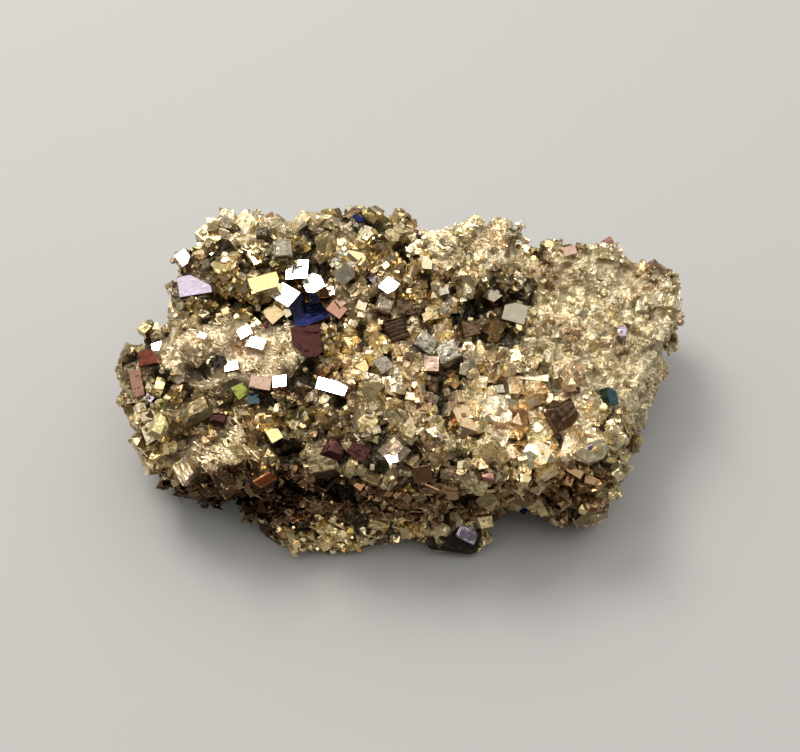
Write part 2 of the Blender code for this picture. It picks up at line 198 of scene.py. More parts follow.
@dataclass(frozen=True)
class PyriteFinish:
    """The metal of one sort of surface. It takes its tint and polish from the piece's own attributes.

    Attributes:
        name: the material's name.
        smooth: roughness of a fully polished face.
        rough: roughness of a fully dull one.
        facet: size of the facets that are too small to model.
        tilt: how far those facets tilt a dull surface.
        stain: strength of the brown stain that lies in patches.
        growth: depth of the growth lines that run along the faces of crystals.
        seam_shade: how much painted shade darkens the edges between the facets and the foot of each growth
            step.
        scatter: how much a broken surface scatters light every way, as fine grains do.
    """

    name: str
    smooth: float = 0.07
    rough: float = 0.46
    facet: float = 0.5 * MM
    tilt: float = 0.25
    stain: float = 0.7
    growth: float = 0.12 * MM
    seam_shade: float = 0.6
    scatter: float = 0.15

    def material(self) -> bpy.types.Material:
        """Builds the material.

        Returns:
            The finished material.
        """
        material = bpy.data.materials.new(self.name)
        material.use_nodes = True
        graph = Graph(material.node_tree)
        shader = material.node_tree.nodes["Principled BSDF"]
        place = graph.add("TexCoord", out="Object")
        tint = graph.add("Attribute", out="Color", attribute_name="tint")
        dullness = 1.0 - graph.add("Attribute", out="Fac", attribute_name="polish")
        broken = dullness * graph.add("Attribute", out="Alpha", attribute_name="tint")
        steps = self.steps(graph)
        grain = graph.add("TexNoise", {"Vector": place, "Scale": GRAIN_SCALE, "Detail": 3.0})
        patches = graph.add("TexNoise", {"Vector": place, "Scale": STAIN_SCALE, "Detail": 4.0})
        facets = {"Vector": place, "Scale": 1.0 / self.facet}
        # Painted shade: where the metal is broken, the edges between the facets and the foot of each growth
        # step are darkened.
        seam = graph.add("TexVoronoi", facets, out="Distance", feature="DISTANCE_TO_EDGE")
        off_seams = graph.step(seam, 0.0, SEAM_WIDTH)
        unshaded_metal = graph.maths("MINIMUM", off_seams, graph.step(steps, 0.0, STEP_FOOT))
        lit_share = 1.0 - self.seam_shade * broken * (1.0 - unshaded_metal)
        colour = graph.scaled(tint, (MOTTLE[0] + MOTTLE[1] * grain) * lit_share)
        stain = self.stain * broken * graph.step(patches, *STAIN_EDGE)
        graph.feed(graph.blend(stain, colour, graph.product(colour, STAIN)), shader, "Base Color")
        graph.feed(1.0 - self.scatter * broken, shader, "Metallic")
        dulled = (self.rough - self.smooth) * dullness
        graph.feed(self.smooth + dulled * (ROUGH_MOTTLE[0] + ROUGH_MOTTLE[1] * grain), shader, "Roughness")
        graph.feed(self.normal(graph, place, broken, steps), shader, "Normal")
        return material

    def steps(self, graph: Graph) -> Value:
        """Growth steps along a crystal's own axes: each rises from 0 to 1 and falls at once.

        Args:
            graph: the material's graph.

        Returns:
            The height within the step.
        """
        grown = graph.add("Attribute", out="Vector", attribute_name="growth")
        along = graph.product(grown, GROWTH_LINES)
        level = graph.add("TexNoise", {"Vector": along, "Scale": 1.0, "Detail": 2.0, "Roughness": 0.5})
        return graph.maths("FRACT", STEPS * level)

    def normal(self, graph: Graph, place: Value, broken: Value, steps: Value) -> Value:
        """The surface's direction, tilted facet by facet where it is broken and lined where it grew.

        Args:
            graph: the material's graph.
            place: the point on the surface.
            broken: 0 on a mirror face, 1 on a broken one.
            steps: the growth steps.

        Returns:
            The tilted normal.
        """
        facing = graph.add("NewGeometry", out="Normal")
        cells = graph.add("TexVoronoi", {"Vector": place, "Scale": 1.0 / self.facet}, out="Color")
        centred = graph.add("VectorMath", {0: cells, 1: HALF}, operation="SUBTRACT")
        lean = graph.scaled(centred, 2.0 * self.tilt * broken)
        tilted = graph.add("VectorMath", {0: facing, 1: lean}, operation="ADD")
        tilted = graph.add("VectorMath", {0: tilted}, operation="NORMALIZE")
        lines = {"Height": steps * (MIRROR_LINES + broken), "Strength": LINE_STRENGTH}
        return graph.add("Bump", {**lines, "Distance": self.growth, "Normal": tilted})


# ---- Tints and the lump's patches ----


class Tint(Enum):
    """The metal's colours, as linear red, green and blue."""

    GOLD = (0.66, 0.52, 0.27)
    PALE = (0.80, 0.71, 0.49)
    OLIVE = (0.45, 0.37, 0.14)
    BEIGE = (0.72, 0.59, 0.42)
    BROWN = (0.25, 0.135, 0.07)
    GREY = (0.52, 0.49, 0.42)
    # Painted highlight: white stands in for the flash of the key light on faces that mirror it; the metal
    # itself is pale brass.
    WHITE = (0.95, 0.93, 0.88)
    LEMON = (0.64, 0.56, 0.27)
    TAN = (0.54, 0.42, 0.23)
    BLUE = (0.014, 0.018, 0.075)
    LILAC = (0.40, 0.34, 0.42)
    ROSE = (0.36, 0.19, 0.14)
    RED = (0.21, 0.06, 0.04)
    MAROON = (0.06, 0.024, 0.02)
    GREEN = (0.26, 0.29, 0.06)
    TEAL = (0.05, 0.09, 0.10)
    ORANGE = (0.34, 0.11, 0.035)
    STEEL = (0.29, 0.26, 0.20)
    UMBER = (0.12, 0.075, 0.045)
    SMOKE = (0.05, 0.04, 0.03)
    BLUSH = (0.42, 0.29, 0.22)
    BRONZE = (0.24, 0.19, 0.10)
    MILK = (0.62, 0.54, 0.49)


BRIGHTEST = 0.98  # of any colour of the metal
COMMON = (Tint.GOLD, Tint.PALE, Tint.OLIVE, Tint.BEIGE, Tint.BROWN, Tint.GREY)
COMMON_COLOURS = np.array([tint.value for tint in COMMON])
# The strong tarnishes, of which rose is twice as common as each of the others.
RARE = (Tint.BLUE, Tint.LILAC, Tint.ROSE, Tint.RED, Tint.GREEN, Tint.MAROON, Tint.ORANGE, Tint.ROSE)
OWN_TINT = 0.65  # how much of a small crystal's colour is its own tint, and not its patch's mean
TINT_SPREAD = (0.85, 1.12)  # the darkest and brightest of small crystals of one tint
PATCH_RIM = (1.15, 0.75)  # where a patch sets in and where it is full, against its half sizes
LEVEL_BLUR_MM = 1.0  # how far a patch fades out above and below its levels


def ramp(values: np.ndarray, low: float, high: float) -> np.ndarray:
    """A smooth step from 0 at low to 1 at high, either way round."""
    share = np.clip((values - low) / (high - low), 0.0, 1.0)
    return share * share * (3.0 - 2.0 * share)


@dataclass(frozen=True)
class Patch:
    """A stretch of the lump with a character of its own: an ellipse seen from above.

    Attributes:
        middle_mm: where it is along X and Y.
        half_mm: its half sizes.
        turn: its turn in degrees.
        heights_mm: the levels between which it lies.
        size: the size of its crystals against the usual.
        cubic: the share of its crystals that are whole cubes.
        polish: how polished they are, from 0 to 1.
        cover: how much of it the masses, the cubes, the small crystals, the grains and the fibres cover.
        bladed: the share of its crystals that are blades.
        smooth: how little its massive metal is broken, from 0 to 1.
        lumpy: how much that metal is made of rounded lumps, from 0 to 1.
        light: how bright its metal is against the usual: partly its own tone, partly painted light and shade
            that follow how brightly each stretch is lit.
        tints: how common each of the common tints is there.
        rank: how strongly it outweighs the patches that it overlaps.
    """

    middle_mm: tuple[float, float]
    half_mm: tuple[float, float]
    turn: float = 0.0
    heights_mm: tuple[float, float] = (10.0, 40.0)
    size: float = 1.0
    cubic: float = 0.6
    polish: float = 0.5
    cover: tuple[float, float, float, float, float] = (0.9, 0.3, 0.5, 0.3, 0.0)
    bladed: float = 0.1
    smooth: float = 0.0
    lumpy: float = 0.0
    light: float = 1.0
    tints: tuple[float, ...] = (0.45, 0.2, 0.11, 0.1, 0.12, 0.02)
    rank: float = 1.0

    def weight(self, points: np.ndarray) -> np.ndarray:
        """How much of each point's character comes from this patch.

        Args:
            points: an (n, 3) array in metres.

        Returns:
            One weight for each point.
        """
        turn = math.radians(self.turn)
        dx = points[:, 0] / MM - self.middle_mm[0]
        dy = points[:, 1] / MM - self.middle_mm[1]
        along = (dx * math.cos(turn) + dy * math.sin(turn)) / self.half_mm[0]
        across = (dy * math.cos(turn) - dx * math.sin(turn)) / self.half_mm[1]
        inside = ramp(np.hypot(along, across), *PATCH_RIM)
        level = points[:, 2] / MM
        low, high = self.heights_mm
        above = ramp(level, low - LEVEL_BLUR_MM, low + LEVEL_BLUR_MM)
        return self.rank * (inside * (above * ramp(level, high + LEVEL_BLUR_MM, high - LEVEL_BLUR_MM)))

    def character(self) -> np.ndarray:
        """Its values in one row, of which Trait names the columns."""
        bulk = (self.bladed, self.smooth, self.lumpy, self.light)
        return np.array([self.size, self.cubic, self.polish, *bulk, *self.cover, *self.tints])


class Trait(IntEnum):
    """The columns of a row of character."""

    SIZE = 0
    CUBIC = 1
    POLISH = 2
    BLADED = 3
    SMOOTH = 4
    LUMPY = 5
    # Partly the patch's own tone, partly painted light and shade.
    LIGHT = 6
    MASSES = 7
    CUBES = 8
    SMALL = 9
    GRAINS = 10
    FIBRES = 11
    TINTS = 12  # and all those after it


USUAL = Patch((0.0, 0.0), (1.0, 1.0), cubic=0.45, polish=0.4)  # the character between the patches
PATCHES = {
    "crest": Patch(
        (-17.0, 18.0), (14.0, 3.6), size=1.25, cubic=0.3, polish=0.3, cover=(0.8, 0.25, 0.35, 0.1, 0.0),
        bladed=0.6, light=1.42, tints=(0.26, 0.5, 0.02, 0.2, 0.01, 0.01),
    ),
    "druse": Patch(
        (-12.0, 10.0), (19.0, 6.5), cubic=0.8, polish=0.6, cover=(0.5, 0.5, 0.9, 0.2, 0.0), light=1.32,
        tints=(0.42, 0.16, 0.14, 0.16, 0.06, 0.06),
    ),
    "fine_ridge": Patch(
        (11.0, 16.5), (10.0, 5.0), size=0.45, cubic=0.2, polish=0.45, cover=(0.5, 0.03, 0.4, 1.0, 0.25),
        smooth=0.5, light=1.58, tints=(0.24, 0.54, 0.02, 0.18, 0.01, 0.01),
    ),
    "middle": Patch(
        (4.0, -1.0), (14.0, 8.5), size=1.05, cubic=0.85, polish=0.3, cover=(0.7, 0.6, 0.8, 0.2, 0.0),
        light=1.44, tints=(0.3, 0.26, 0.08, 0.26, 0.04, 0.06),
    ),
    "left_lobe": Patch(
        (-25.0, 0.5), (12.5, 5.0), size=0.75, cubic=0.3, polish=0.15, cover=(0.2, 0.03, 0.08, 0.25, 0.9),
        smooth=0.85, light=1.5, tints=(0.1, 0.4, 0.0, 0.45, 0.0, 0.05),
    ),
    "lower_left": Patch(
        (-27.0, -12.0), (11.0, 6.0), size=1.35, cubic=0.3, polish=0.55, cover=(0.9, 0.15, 0.5, 0.2, 0.3),
        bladed=0.35, smooth=0.2, light=1.36, tints=(0.55, 0.1, 0.05, 0.0, 0.3, 0.0),
    ),
    "pale_streaks": Patch(
        (-26.0, -13.0), (4.8, 3.4), cubic=0.3, polish=0.3, cover=(0.15, 0.05, 0.05, 0.05, 1.0), smooth=0.6,
        light=1.3, tints=(0.3, 0.6, 0.0, 0.1, 0.0, 0.0), rank=5.0,
    ),
    # dark_folds, under_left and front_wall: their brown tints and low light are partly the metal's own stain
    # and partly painted shade on walls that face the front and the floor, away from the lamps.
    "dark_folds": Patch(
        (-23.0, -17.4), (7.5, 1.8), turn=6.0, size=0.9, cubic=0.3, polish=0.7,
        cover=(0.8, 0.05, 0.2, 0.2, 0.5), bladed=0.7, smooth=0.4, light=0.45,
        tints=(0.1, 0.0, 0.0, 0.0, 0.9, 0.0), rank=5.0,
    ),
    "under_left": Patch(
        (-26.0, -17.0), (11.0, 5.0), heights_mm=(0.0, 12.5), size=0.7, cubic=0.2, polish=0.8,
        cover=(0.9, 0.05, 0.5, 0.3, 0.1), bladed=0.5, light=0.4, tints=(0.1, 0.0, 0.0, 0.0, 0.9, 0.0),
        rank=5.0,
    ),
    "front_wall": Patch(
        (-9.0, -20.0), (18.0, 5.0), heights_mm=(8.0, 18.0), size=0.8, cubic=0.3, polish=0.6,
        cover=(1.0, 0.05, 0.5, 0.4, 0.4), bladed=0.4, light=0.98, tints=(0.2, 0.0, 0.0, 0.0, 0.8, 0.0),
    ),
    "ledge": Patch(
        (-6.0, -23.0), (26.0, 5.5), heights_mm=(0.0, 8.0), size=0.75, cubic=0.35, polish=0.65,
        cover=(0.5, 0.1, 1.0, 0.6, 0.4), bladed=0.3, light=1.85, tints=(0.6, 0.2, 0.08, 0.04, 0.08, 0.0),
    ),
    "right_lobe": Patch(
        (31.0, 6.0), (14.0, 16.0), heights_mm=(8.0, 40.0), size=0.8, cubic=0.15, polish=0.05,
        cover=(0.2, 0.03, 0.06, 0.1, 0.0), smooth=0.8, lumpy=1.0, light=1.17,
        tints=(0.3, 0.6, 0.0, 0.1, 0.0, 0.0),
    ),
    "front_right": Patch(
        (19.0, -11.0), (10.0, 7.0), size=1.4, cubic=0.3, polish=0.3, cover=(0.95, 0.15, 0.35, 0.15, 0.05),
        bladed=0.2, smooth=0.3, lumpy=0.3, light=1.78, tints=(0.22, 0.54, 0.02, 0.18, 0.02, 0.02),
    ),
    # right_wall: its brown tints are partly the metal's own stain and partly painted shade on the front wall.
    "right_wall": Patch(
        (16.0, -19.0), (14.0, 4.5), heights_mm=(8.0, 17.0), size=1.25, cubic=0.2, polish=0.6,
        cover=(0.95, 0.05, 0.35, 0.2, 0.1), bladed=0.4, tints=(0.5, 0.0, 0.0, 0.0, 0.5, 0.0), rank=3.0,
    ),
}


def character(points: np.ndarray) -> np.ndarray:
    """The character of the lump at each point.

    Args:
        points: an (n, 3) array in metres.

    Returns:
        One row for each point, laid out as Patch.character lays it out.
    """
    weights = np.stack([patch.weight(points) for patch in PATCHES.values()], axis=1)
    total = weights.sum(axis=1, keepdims=True)
    weights = weights / np.maximum(total, 1.0)
    rest = 1.0 - weights.sum(axis=1, keepdims=True)
    return weights @ np.stack([patch.character() for patch in PATCHES.values()]) + rest * USUAL.character()


def mean_tints(likely: np.ndarray) -> np.ndarray:
    """The mean colour of rows that say how likely each common tint is."""
    return likely / likely.sum(axis=1, keepdims=True) @ COMMON_COLOURS


def drawn_tints(likely: np.ndarray, rng: np.random.Generator, rare: float) -> np.ndarray:
    """Draws a colour for each crystal.

    Args:
        likely: how likely each common tint is, one row for each crystal.
        rng: the random numbers.
        rare: share of crystals with a strong tarnish.

    Returns:
        An (n, 3) array of linear colours.
    """
    count = len(likely)
    steps = np.cumsum(likely / likely.sum(axis=1, keepdims=True), axis=1)
    drawn = np.minimum((rng.random((count, 1)) > steps).sum(axis=1), len(COMMON) - 1)
    colours = OWN_TINT * COMMON_COLOURS[drawn] + (1.0 - OWN_TINT) * mean_tints(likely)
    colours *= rng.uniform(*TINT_SPREAD, (count, 1))
    strong = np.array([tint.value for tint in RARE])[rng.integers(0, len(RARE), count)]
    odd = (rng.random(count) < rare)[:, None]
    return np.where(odd, strong, colours)


def with_tone_and_painted_light(tints: np.ndarray, light: np.ndarray) -> np.ndarray:
    """Makes (n, 3) colours brighter or darker, each by its own factor of tone and painted light and shade,
    with their hue kept.
    """
    brighter = tints * light[:, None]
    return brighter * np.minimum(1.0, BRIGHTEST / brighter.max(axis=1, keepdims=True))


# ---- Crystals as arrays ----


@dataclass(frozen=True)
class Shape:
    """One crystal shape at unit size, as arrays that many crystals are made from.

    Attributes:
        points: its corners, an (n, 3) array.
        corners: the corner at each face corner, face after face.
        sizes: the number of corners of each face.
    """

    points: np.ndarray
    corners: np.ndarray
    sizes: np.ndarray

    @classmethod
    def of(cls, bm: bmesh.types.BMesh) -> "Shape":
        """Reads a shape from a bmesh and frees it.

        Args:
            bm: the shape.

        Returns:
            Its arrays.
        """
        bmesh.ops.recalc_face_normals(bm, faces=bm.faces)
        bm.verts.index_update()
        points = np.array([vert.co[:] for vert in bm.verts])
        corners = np.array([vert.index for face in bm.faces for vert in face.verts])
        sizes = np.array([len(face.verts) for face in bm.faces])
        bm.free()
        return cls(points, corners, sizes)


UPWARD = 0.9  # a face looks along an axis where its normal goes this far along it
# The habits' numbers are shares of the cube's edge, and angles are in radians.
SOFT_EDGE = 0.035
TERRACES = ((0.15, 0.05, 1.0), (0.14, 0.035, -1.0))  # each one's inset, its rise and which way it slides
TERRACE_SLIDE = 0.05
NICKS = (((1.0, 0.9, 1.1), 0.62), ((1.0, -1.0, 0.1), 0.6))  # each cut's direction and how far out it is
CORNER_CUTS = (0.6, 0.65, 0.7)  # how far out the corners are cut, by turns
PENTAGONS = 0.47  # how far the five-sided faces are from the middle
BLADE_SIZES = (0.9, 0.45, 1.3)
BLADE_EDGE, BLADE_LEAN = 0.15, 0.1  # how thin the edge is against the back, and how far it leans over
SLIVER_ENDS = (0.2, 0.45)  # how narrow each end is
SLIVER_LEAN = 0.2
TWIN_SIZE, TWIN_PLACE, TWIN_TURNS = 0.7, (0.38, 0.22, 0.2), (0.35, 0.2)
BREAKS = (
    ((1.0, 0.3, 0.8), 0.42), ((-0.7, 0.9, 0.5), 0.45), ((0.2, -1.0, 0.7), 0.4),
    ((-0.8, -0.6, 0.9), 0.5), ((0.9, -0.7, -0.4), 0.52), ((-0.3, 0.8, -0.9), 0.48),
)


class Habit(Enum):
    """The forms that the crystals take."""

    CUBE = "a plain cube"
    WORN = "a cube with soft edges"
    STEPPED = "a cube whose faces grew in steps"
    NICKED = "a cube that lacks a corner"
    TWIN = "two cubes grown through each other"
    CHIP = "a broken grain"
    TRUNCATED = "a cube whose corners are cut by other faces"
    PYRITOHEDRON = "twelve five-sided faces"
    BLADE = "a thin wedge"
    SLIVER = "a long thin flake"

    def shape(self) -> Shape:
        """Models the form at unit size.

        Returns:
            Its arrays.
        """
        bm = bmesh.new()
        bmesh.ops.create_cube(bm, size=1.0)
        getattr(self, "_" + self.name.lower())(bm)
        return Shape.of(bm)

    def _cube(self, bm: bmesh.types.BMesh) -> None:
        """Leaves the cube plain."""

    def _worn(self, bm: bmesh.types.BMesh) -> None:
        """Takes the edge off every edge."""
        rounded(bm, SOFT_EDGE)

    def _stepped(self, bm: bmesh.types.BMesh) -> None:
        """Raises two smaller squares on each of three faces, one on the other and off its middle.

        Args:
            bm: the unit cube.
        """
        chosen = [face for face in bm.faces if max(face.normal) > UPWARD]
        for turn, face in enumerate(chosen):
            direction = face.normal.copy()
            slide = Vector((direction.y, direction.z, direction.x)) * (TERRACE_SLIDE * (1 - turn))
            for inset, rise, way in TERRACES:
                bmesh.ops.inset_individual(bm, faces=[face], thickness=inset)
                face = bmesh.ops.extrude_discrete_faces(bm, faces=[face])["faces"][0]
                bmesh.ops.translate(bm, verts=face.verts, vec=direction * rise + way * slide)

    def _nicked(self, bm: bmesh.types.BMesh) -> None:
        """Cuts one corner and one edge off."""
        for towards, reach in NICKS:
            cut_off(bm, Vector(towards), reach)

    def _truncated(self, bm: bmesh.types.BMesh) -> None:
        """Cuts every corner off, some further than others."""
        for index, corner in enumerate([vert.co.copy() for vert in bm.verts]):
            cut_off(bm, corner, CORNER_CUTS[index % 3])

    def _pyritohedron(self, bm: bmesh.types.BMesh) -> None:
        """Cuts the cube by the form's twelve faces.

        Args:
            bm: the unit cube.
        """
        for axis in range(3):
            for first, second in ((2.0, 1.0), (-2.0, 1.0), (2.0, -1.0), (-2.0, -1.0)):
                towards = Vector((0.0, 0.0, 0.0))
                towards[axis] = first
                towards[(axis + 1) % 3] = second
                cut_off(bm, towards, PENTAGONS)

    def _blade(self, bm: bmesh.types.BMesh) -> None:
        """Pinches one end to an edge and thins the whole.

        Args:
            bm: the unit cube.
        """
        wide, thick, long = BLADE_SIZES
        for vert in bm.verts:
            x, y, z = vert.co
            pinched = BLADE_EDGE if z > 0.0 else 1.0
            vert.co = Vector((x * wide, y * thick * pinched + BLADE_LEAN * z, z * long))

    def _sliver(self, bm: bmesh.types.BMesh) -> None:
        """Draws both ends to uneven points.

        Args:
            bm: the unit cube.
        """
        for vert in bm.verts:
            x, y, z = vert.co
            narrow = SLIVER_ENDS[0] if x > 0.0 else SLIVER_ENDS[1]
            vert.co = Vector((x, y * narrow + SLIVER_LEAN * x, z * narrow))

    def _twin(self, bm: bmesh.types.BMesh) -> None:
        """Adds a smaller cube that stands out of a side, a little turned."""
        turn = Matrix.Rotation(TWIN_TURNS[0], 4, "Z") @ Matrix.Rotation(TWIN_TURNS[1], 4, "X")
        bmesh.ops.create_cube(bm, size=TWIN_SIZE, matrix=Matrix.Translation(TWIN_PLACE) @ turn)

    def _chip(self, bm: bmesh.types.BMesh) -> None:
        """Breaks the cube down to an uneven grain."""
        for towards, reach in BREAKS:
            cut_off(bm, Vector(towards), reach)


def cut_off(bm: bmesh.types.BMesh, towards: Vector, reach: float) -> None:
    """Cuts a closed shape by a plane and closes the cut.

    Args:
        bm: the shape, about its own middle.
        towards: the direction of what is dropped.
        reach: how far the plane is from the middle.
    """
    normal = towards.normalized()
    everything = bm.verts[:] + bm.edges[:] + bm.faces[:]
    cut = bmesh.ops.bisect_plane(
        bm, geom=everything, plane_co=normal * reach, plane_no=normal, clear_outer=True
    )
    rim = [item for item in cut["geom_cut"] if isinstance(item, bmesh.types.BMEdge)]
    if rim:
        bmesh.ops.contextual_create(bm, geom=rim)


def rounded(bm: bmesh.types.BMesh, offset: float) -> None:
    """Takes the edge off every edge of a shape.

    Args:
        bm: the shape.
        offset: how far.
    """
    bmesh.ops.bevel(
        bm, geom=bm.edges[:], offset=offset, segments=1, profile=0.5, affect="EDGES", material=-1,
        clamp_overlap=True,
    )


@dataclass
class Crystals:
    """Many crystals, one row each.

    Attributes:
        centres: their middles, an (n, 3) array.
        turns: their axes as the columns of (n, 3, 3) matrices.
        edges: their sizes along their own axes, an (n, 3) array.
        tints: their colours, an (n, 3) array.
        polish: from 0, broken, to 1, mirror.
    """

    centres: np.ndarray
    turns: np.ndarray
    edges: np.ndarray
    tints: np.ndarray
    polish: np.ndarray

    def only(self, keep: np.ndarray) -> "Crystals":
        """The rows that a mask or a list of numbers picks."""
        columns = (self.centres, self.turns, self.edges, self.tints, self.polish)
        return Crystals(*(column[keep] for column in columns))


def joined(
    name: str,
    groups: list[tuple[Shape, Crystals]],
    material: bpy.types.Material,
    painted: np.ndarray | None = None,
) -> bpy.types.Object:
    """Makes one mesh of many crystals.

    Args:
        name: the piece's name.
        groups: each shape with the crystals that have it.
        material: the piece's finish.
        painted: the colour of every point, where it isn't the same all over a crystal.

    Returns:
        The piece, which is part of the specimen's one body.
    """
    points, corners, sizes, tints, polish, growth = [], [], [], [], [], []
    first = 0
    for shape, crystals in groups:
        count = len(crystals.centres)
        sized = shape.points[None] * crystals.edges[:, None]
        placed = np.einsum("nij,nkj->nki", crystals.turns, sized) + crystals.centres[:, None]
        starts = first + np.arange(count)[:, None] * len(shape.points)
        points.append(placed.reshape(-1, 3))
        corners.append((starts + shape.corners[None]).ravel())
        sizes.append(np.tile(shape.sizes, count))
        tints.append(np.repeat(crystals.tints, len(shape.points), axis=0))
        polish.append(np.repeat(crystals.polish, len(shape.points)))
        growth.append((sized + crystals.centres[:, None]).reshape(-1, 3))
        first += count * len(shape.points)
    mesh = bpy.data.meshes.new(name)
    points = np.concatenate(points)
    corners = np.concatenate(corners)
    sizes = np.concatenate(sizes)
    mesh.vertices.add(len(points))
    mesh.loops.add(len(corners))
    mesh.polygons.add(len(sizes))
    mesh.vertices.foreach_set("co", points.ravel())
    mesh.loops.foreach_set("vertex_index", corners)
    mesh.polygons.foreach_set("loop_start", np.cumsum(sizes) - sizes)
    mesh.update(calc_edges=True)
    tints = np.concatenate(tints) if painted is None else painted
    colour(mesh, tints, np.concatenate(polish), np.concatenate(growth))
    return piece(name, mesh, material)


def colour(
    mesh: bpy.types.Mesh,
    tints: np.ndarray,
    polish: np.ndarray,
    growth: np.ndarray,
    broken: float | np.ndarray = 1.0,
) -> None:
    """Writes what the finish reads at each of a mesh's points.

    Args:
        mesh: the mesh.
        tints: an (n, 3) array of colours.
        polish: n numbers from 0 to 1.
        growth: an (n, 3) array of places along the crystal's own axes, which its growth lines follow.
        broken: how much the dull metal is broken into facets, from 0 to 1.
    """
    rgba = np.concatenate([tints, np.broadcast_to(broken, len(tints))[:, None]], axis=1)
    mesh.attributes.new("tint", "FLOAT_COLOR", "POINT").data.foreach_set("color", rgba.ravel())
    mesh.attributes.new("polish", "FLOAT", "POINT").data.foreach_set("value", polish)
    mesh.attributes.new("growth", "FLOAT_VECTOR", "POINT").data.foreach_set("vector", growth.ravel())


def piece(name: str, mesh: bpy.types.Mesh, material: bpy.types.Material) -> bpy.types.Object:
    """Makes a mesh a piece of the specimen.

    Args:
        name: the piece's name.
        mesh: its mesh, in the specimen's own place.
        material: its finish.

    Returns:
        The piece, riding on the specimen's body.
    """
    obj = bpy.data.objects.new(name, mesh)
    bpy.context.scene.collection.objects.link(obj)
    mesh.shade_flat()
    mesh.materials.append(material)
    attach(obj, BODY)
    triangles = sum(len(polygon.vertices) - 2 for polygon in mesh.polygons)
    LOG.info("%s: %d triangles", name, triangles)
    return obj


# ---- The large crystals ----


class Skin(Enum):
    """How a large crystal's outer face grew."""

    FLAT = "one clean face"
    TERRACED = "a low terrace on the face"
    PITTED = "a face with a small hollow"
    RIBBED = "a face of narrow ribs"
    PEAKED = "a face drawn up to an uneven peak"
    FOLDED = "a split face of fine folds"
    GRANULAR = "a face lost under small grains"


NICK_LEAN = 0.12  # how far the cut of a nick rises
# A face's rim against its narrow side, and how far what is inside is off the middle, against each side.
TERRACE, PIT, PEAK = (0.1, 0.05, -0.04), (0.4, 0.06, -0.05), (0.3, 0.1, 0.08)
TERRACE_RISE, PIT_DEPTH = 0.14 * MM, 0.4 * MM
PEAK_RISE = 0.22  # against the face's narrow side
FOLDS = (0.9 * MM, 0.24 * MM)  # the length and the width of a fold's facets
FOLD_RISE = 0.5 * MM
FOLD_NOISE = 0.6  # how far the noise goes from one facet to the next
RIB_PITCH = 0.3 * MM
RIB_SWELL = (0.03, 0.02)  # how far ribs stand out by turns, and at random
FACE_RIM = 0.6  # how much of the rounding has the outer face's tint
OPEN_SIDE = (0.0, -0.5, 0.866)  # the druse opens upwards and a little to the front
OPEN_HEIGHT = 5.0 * MM


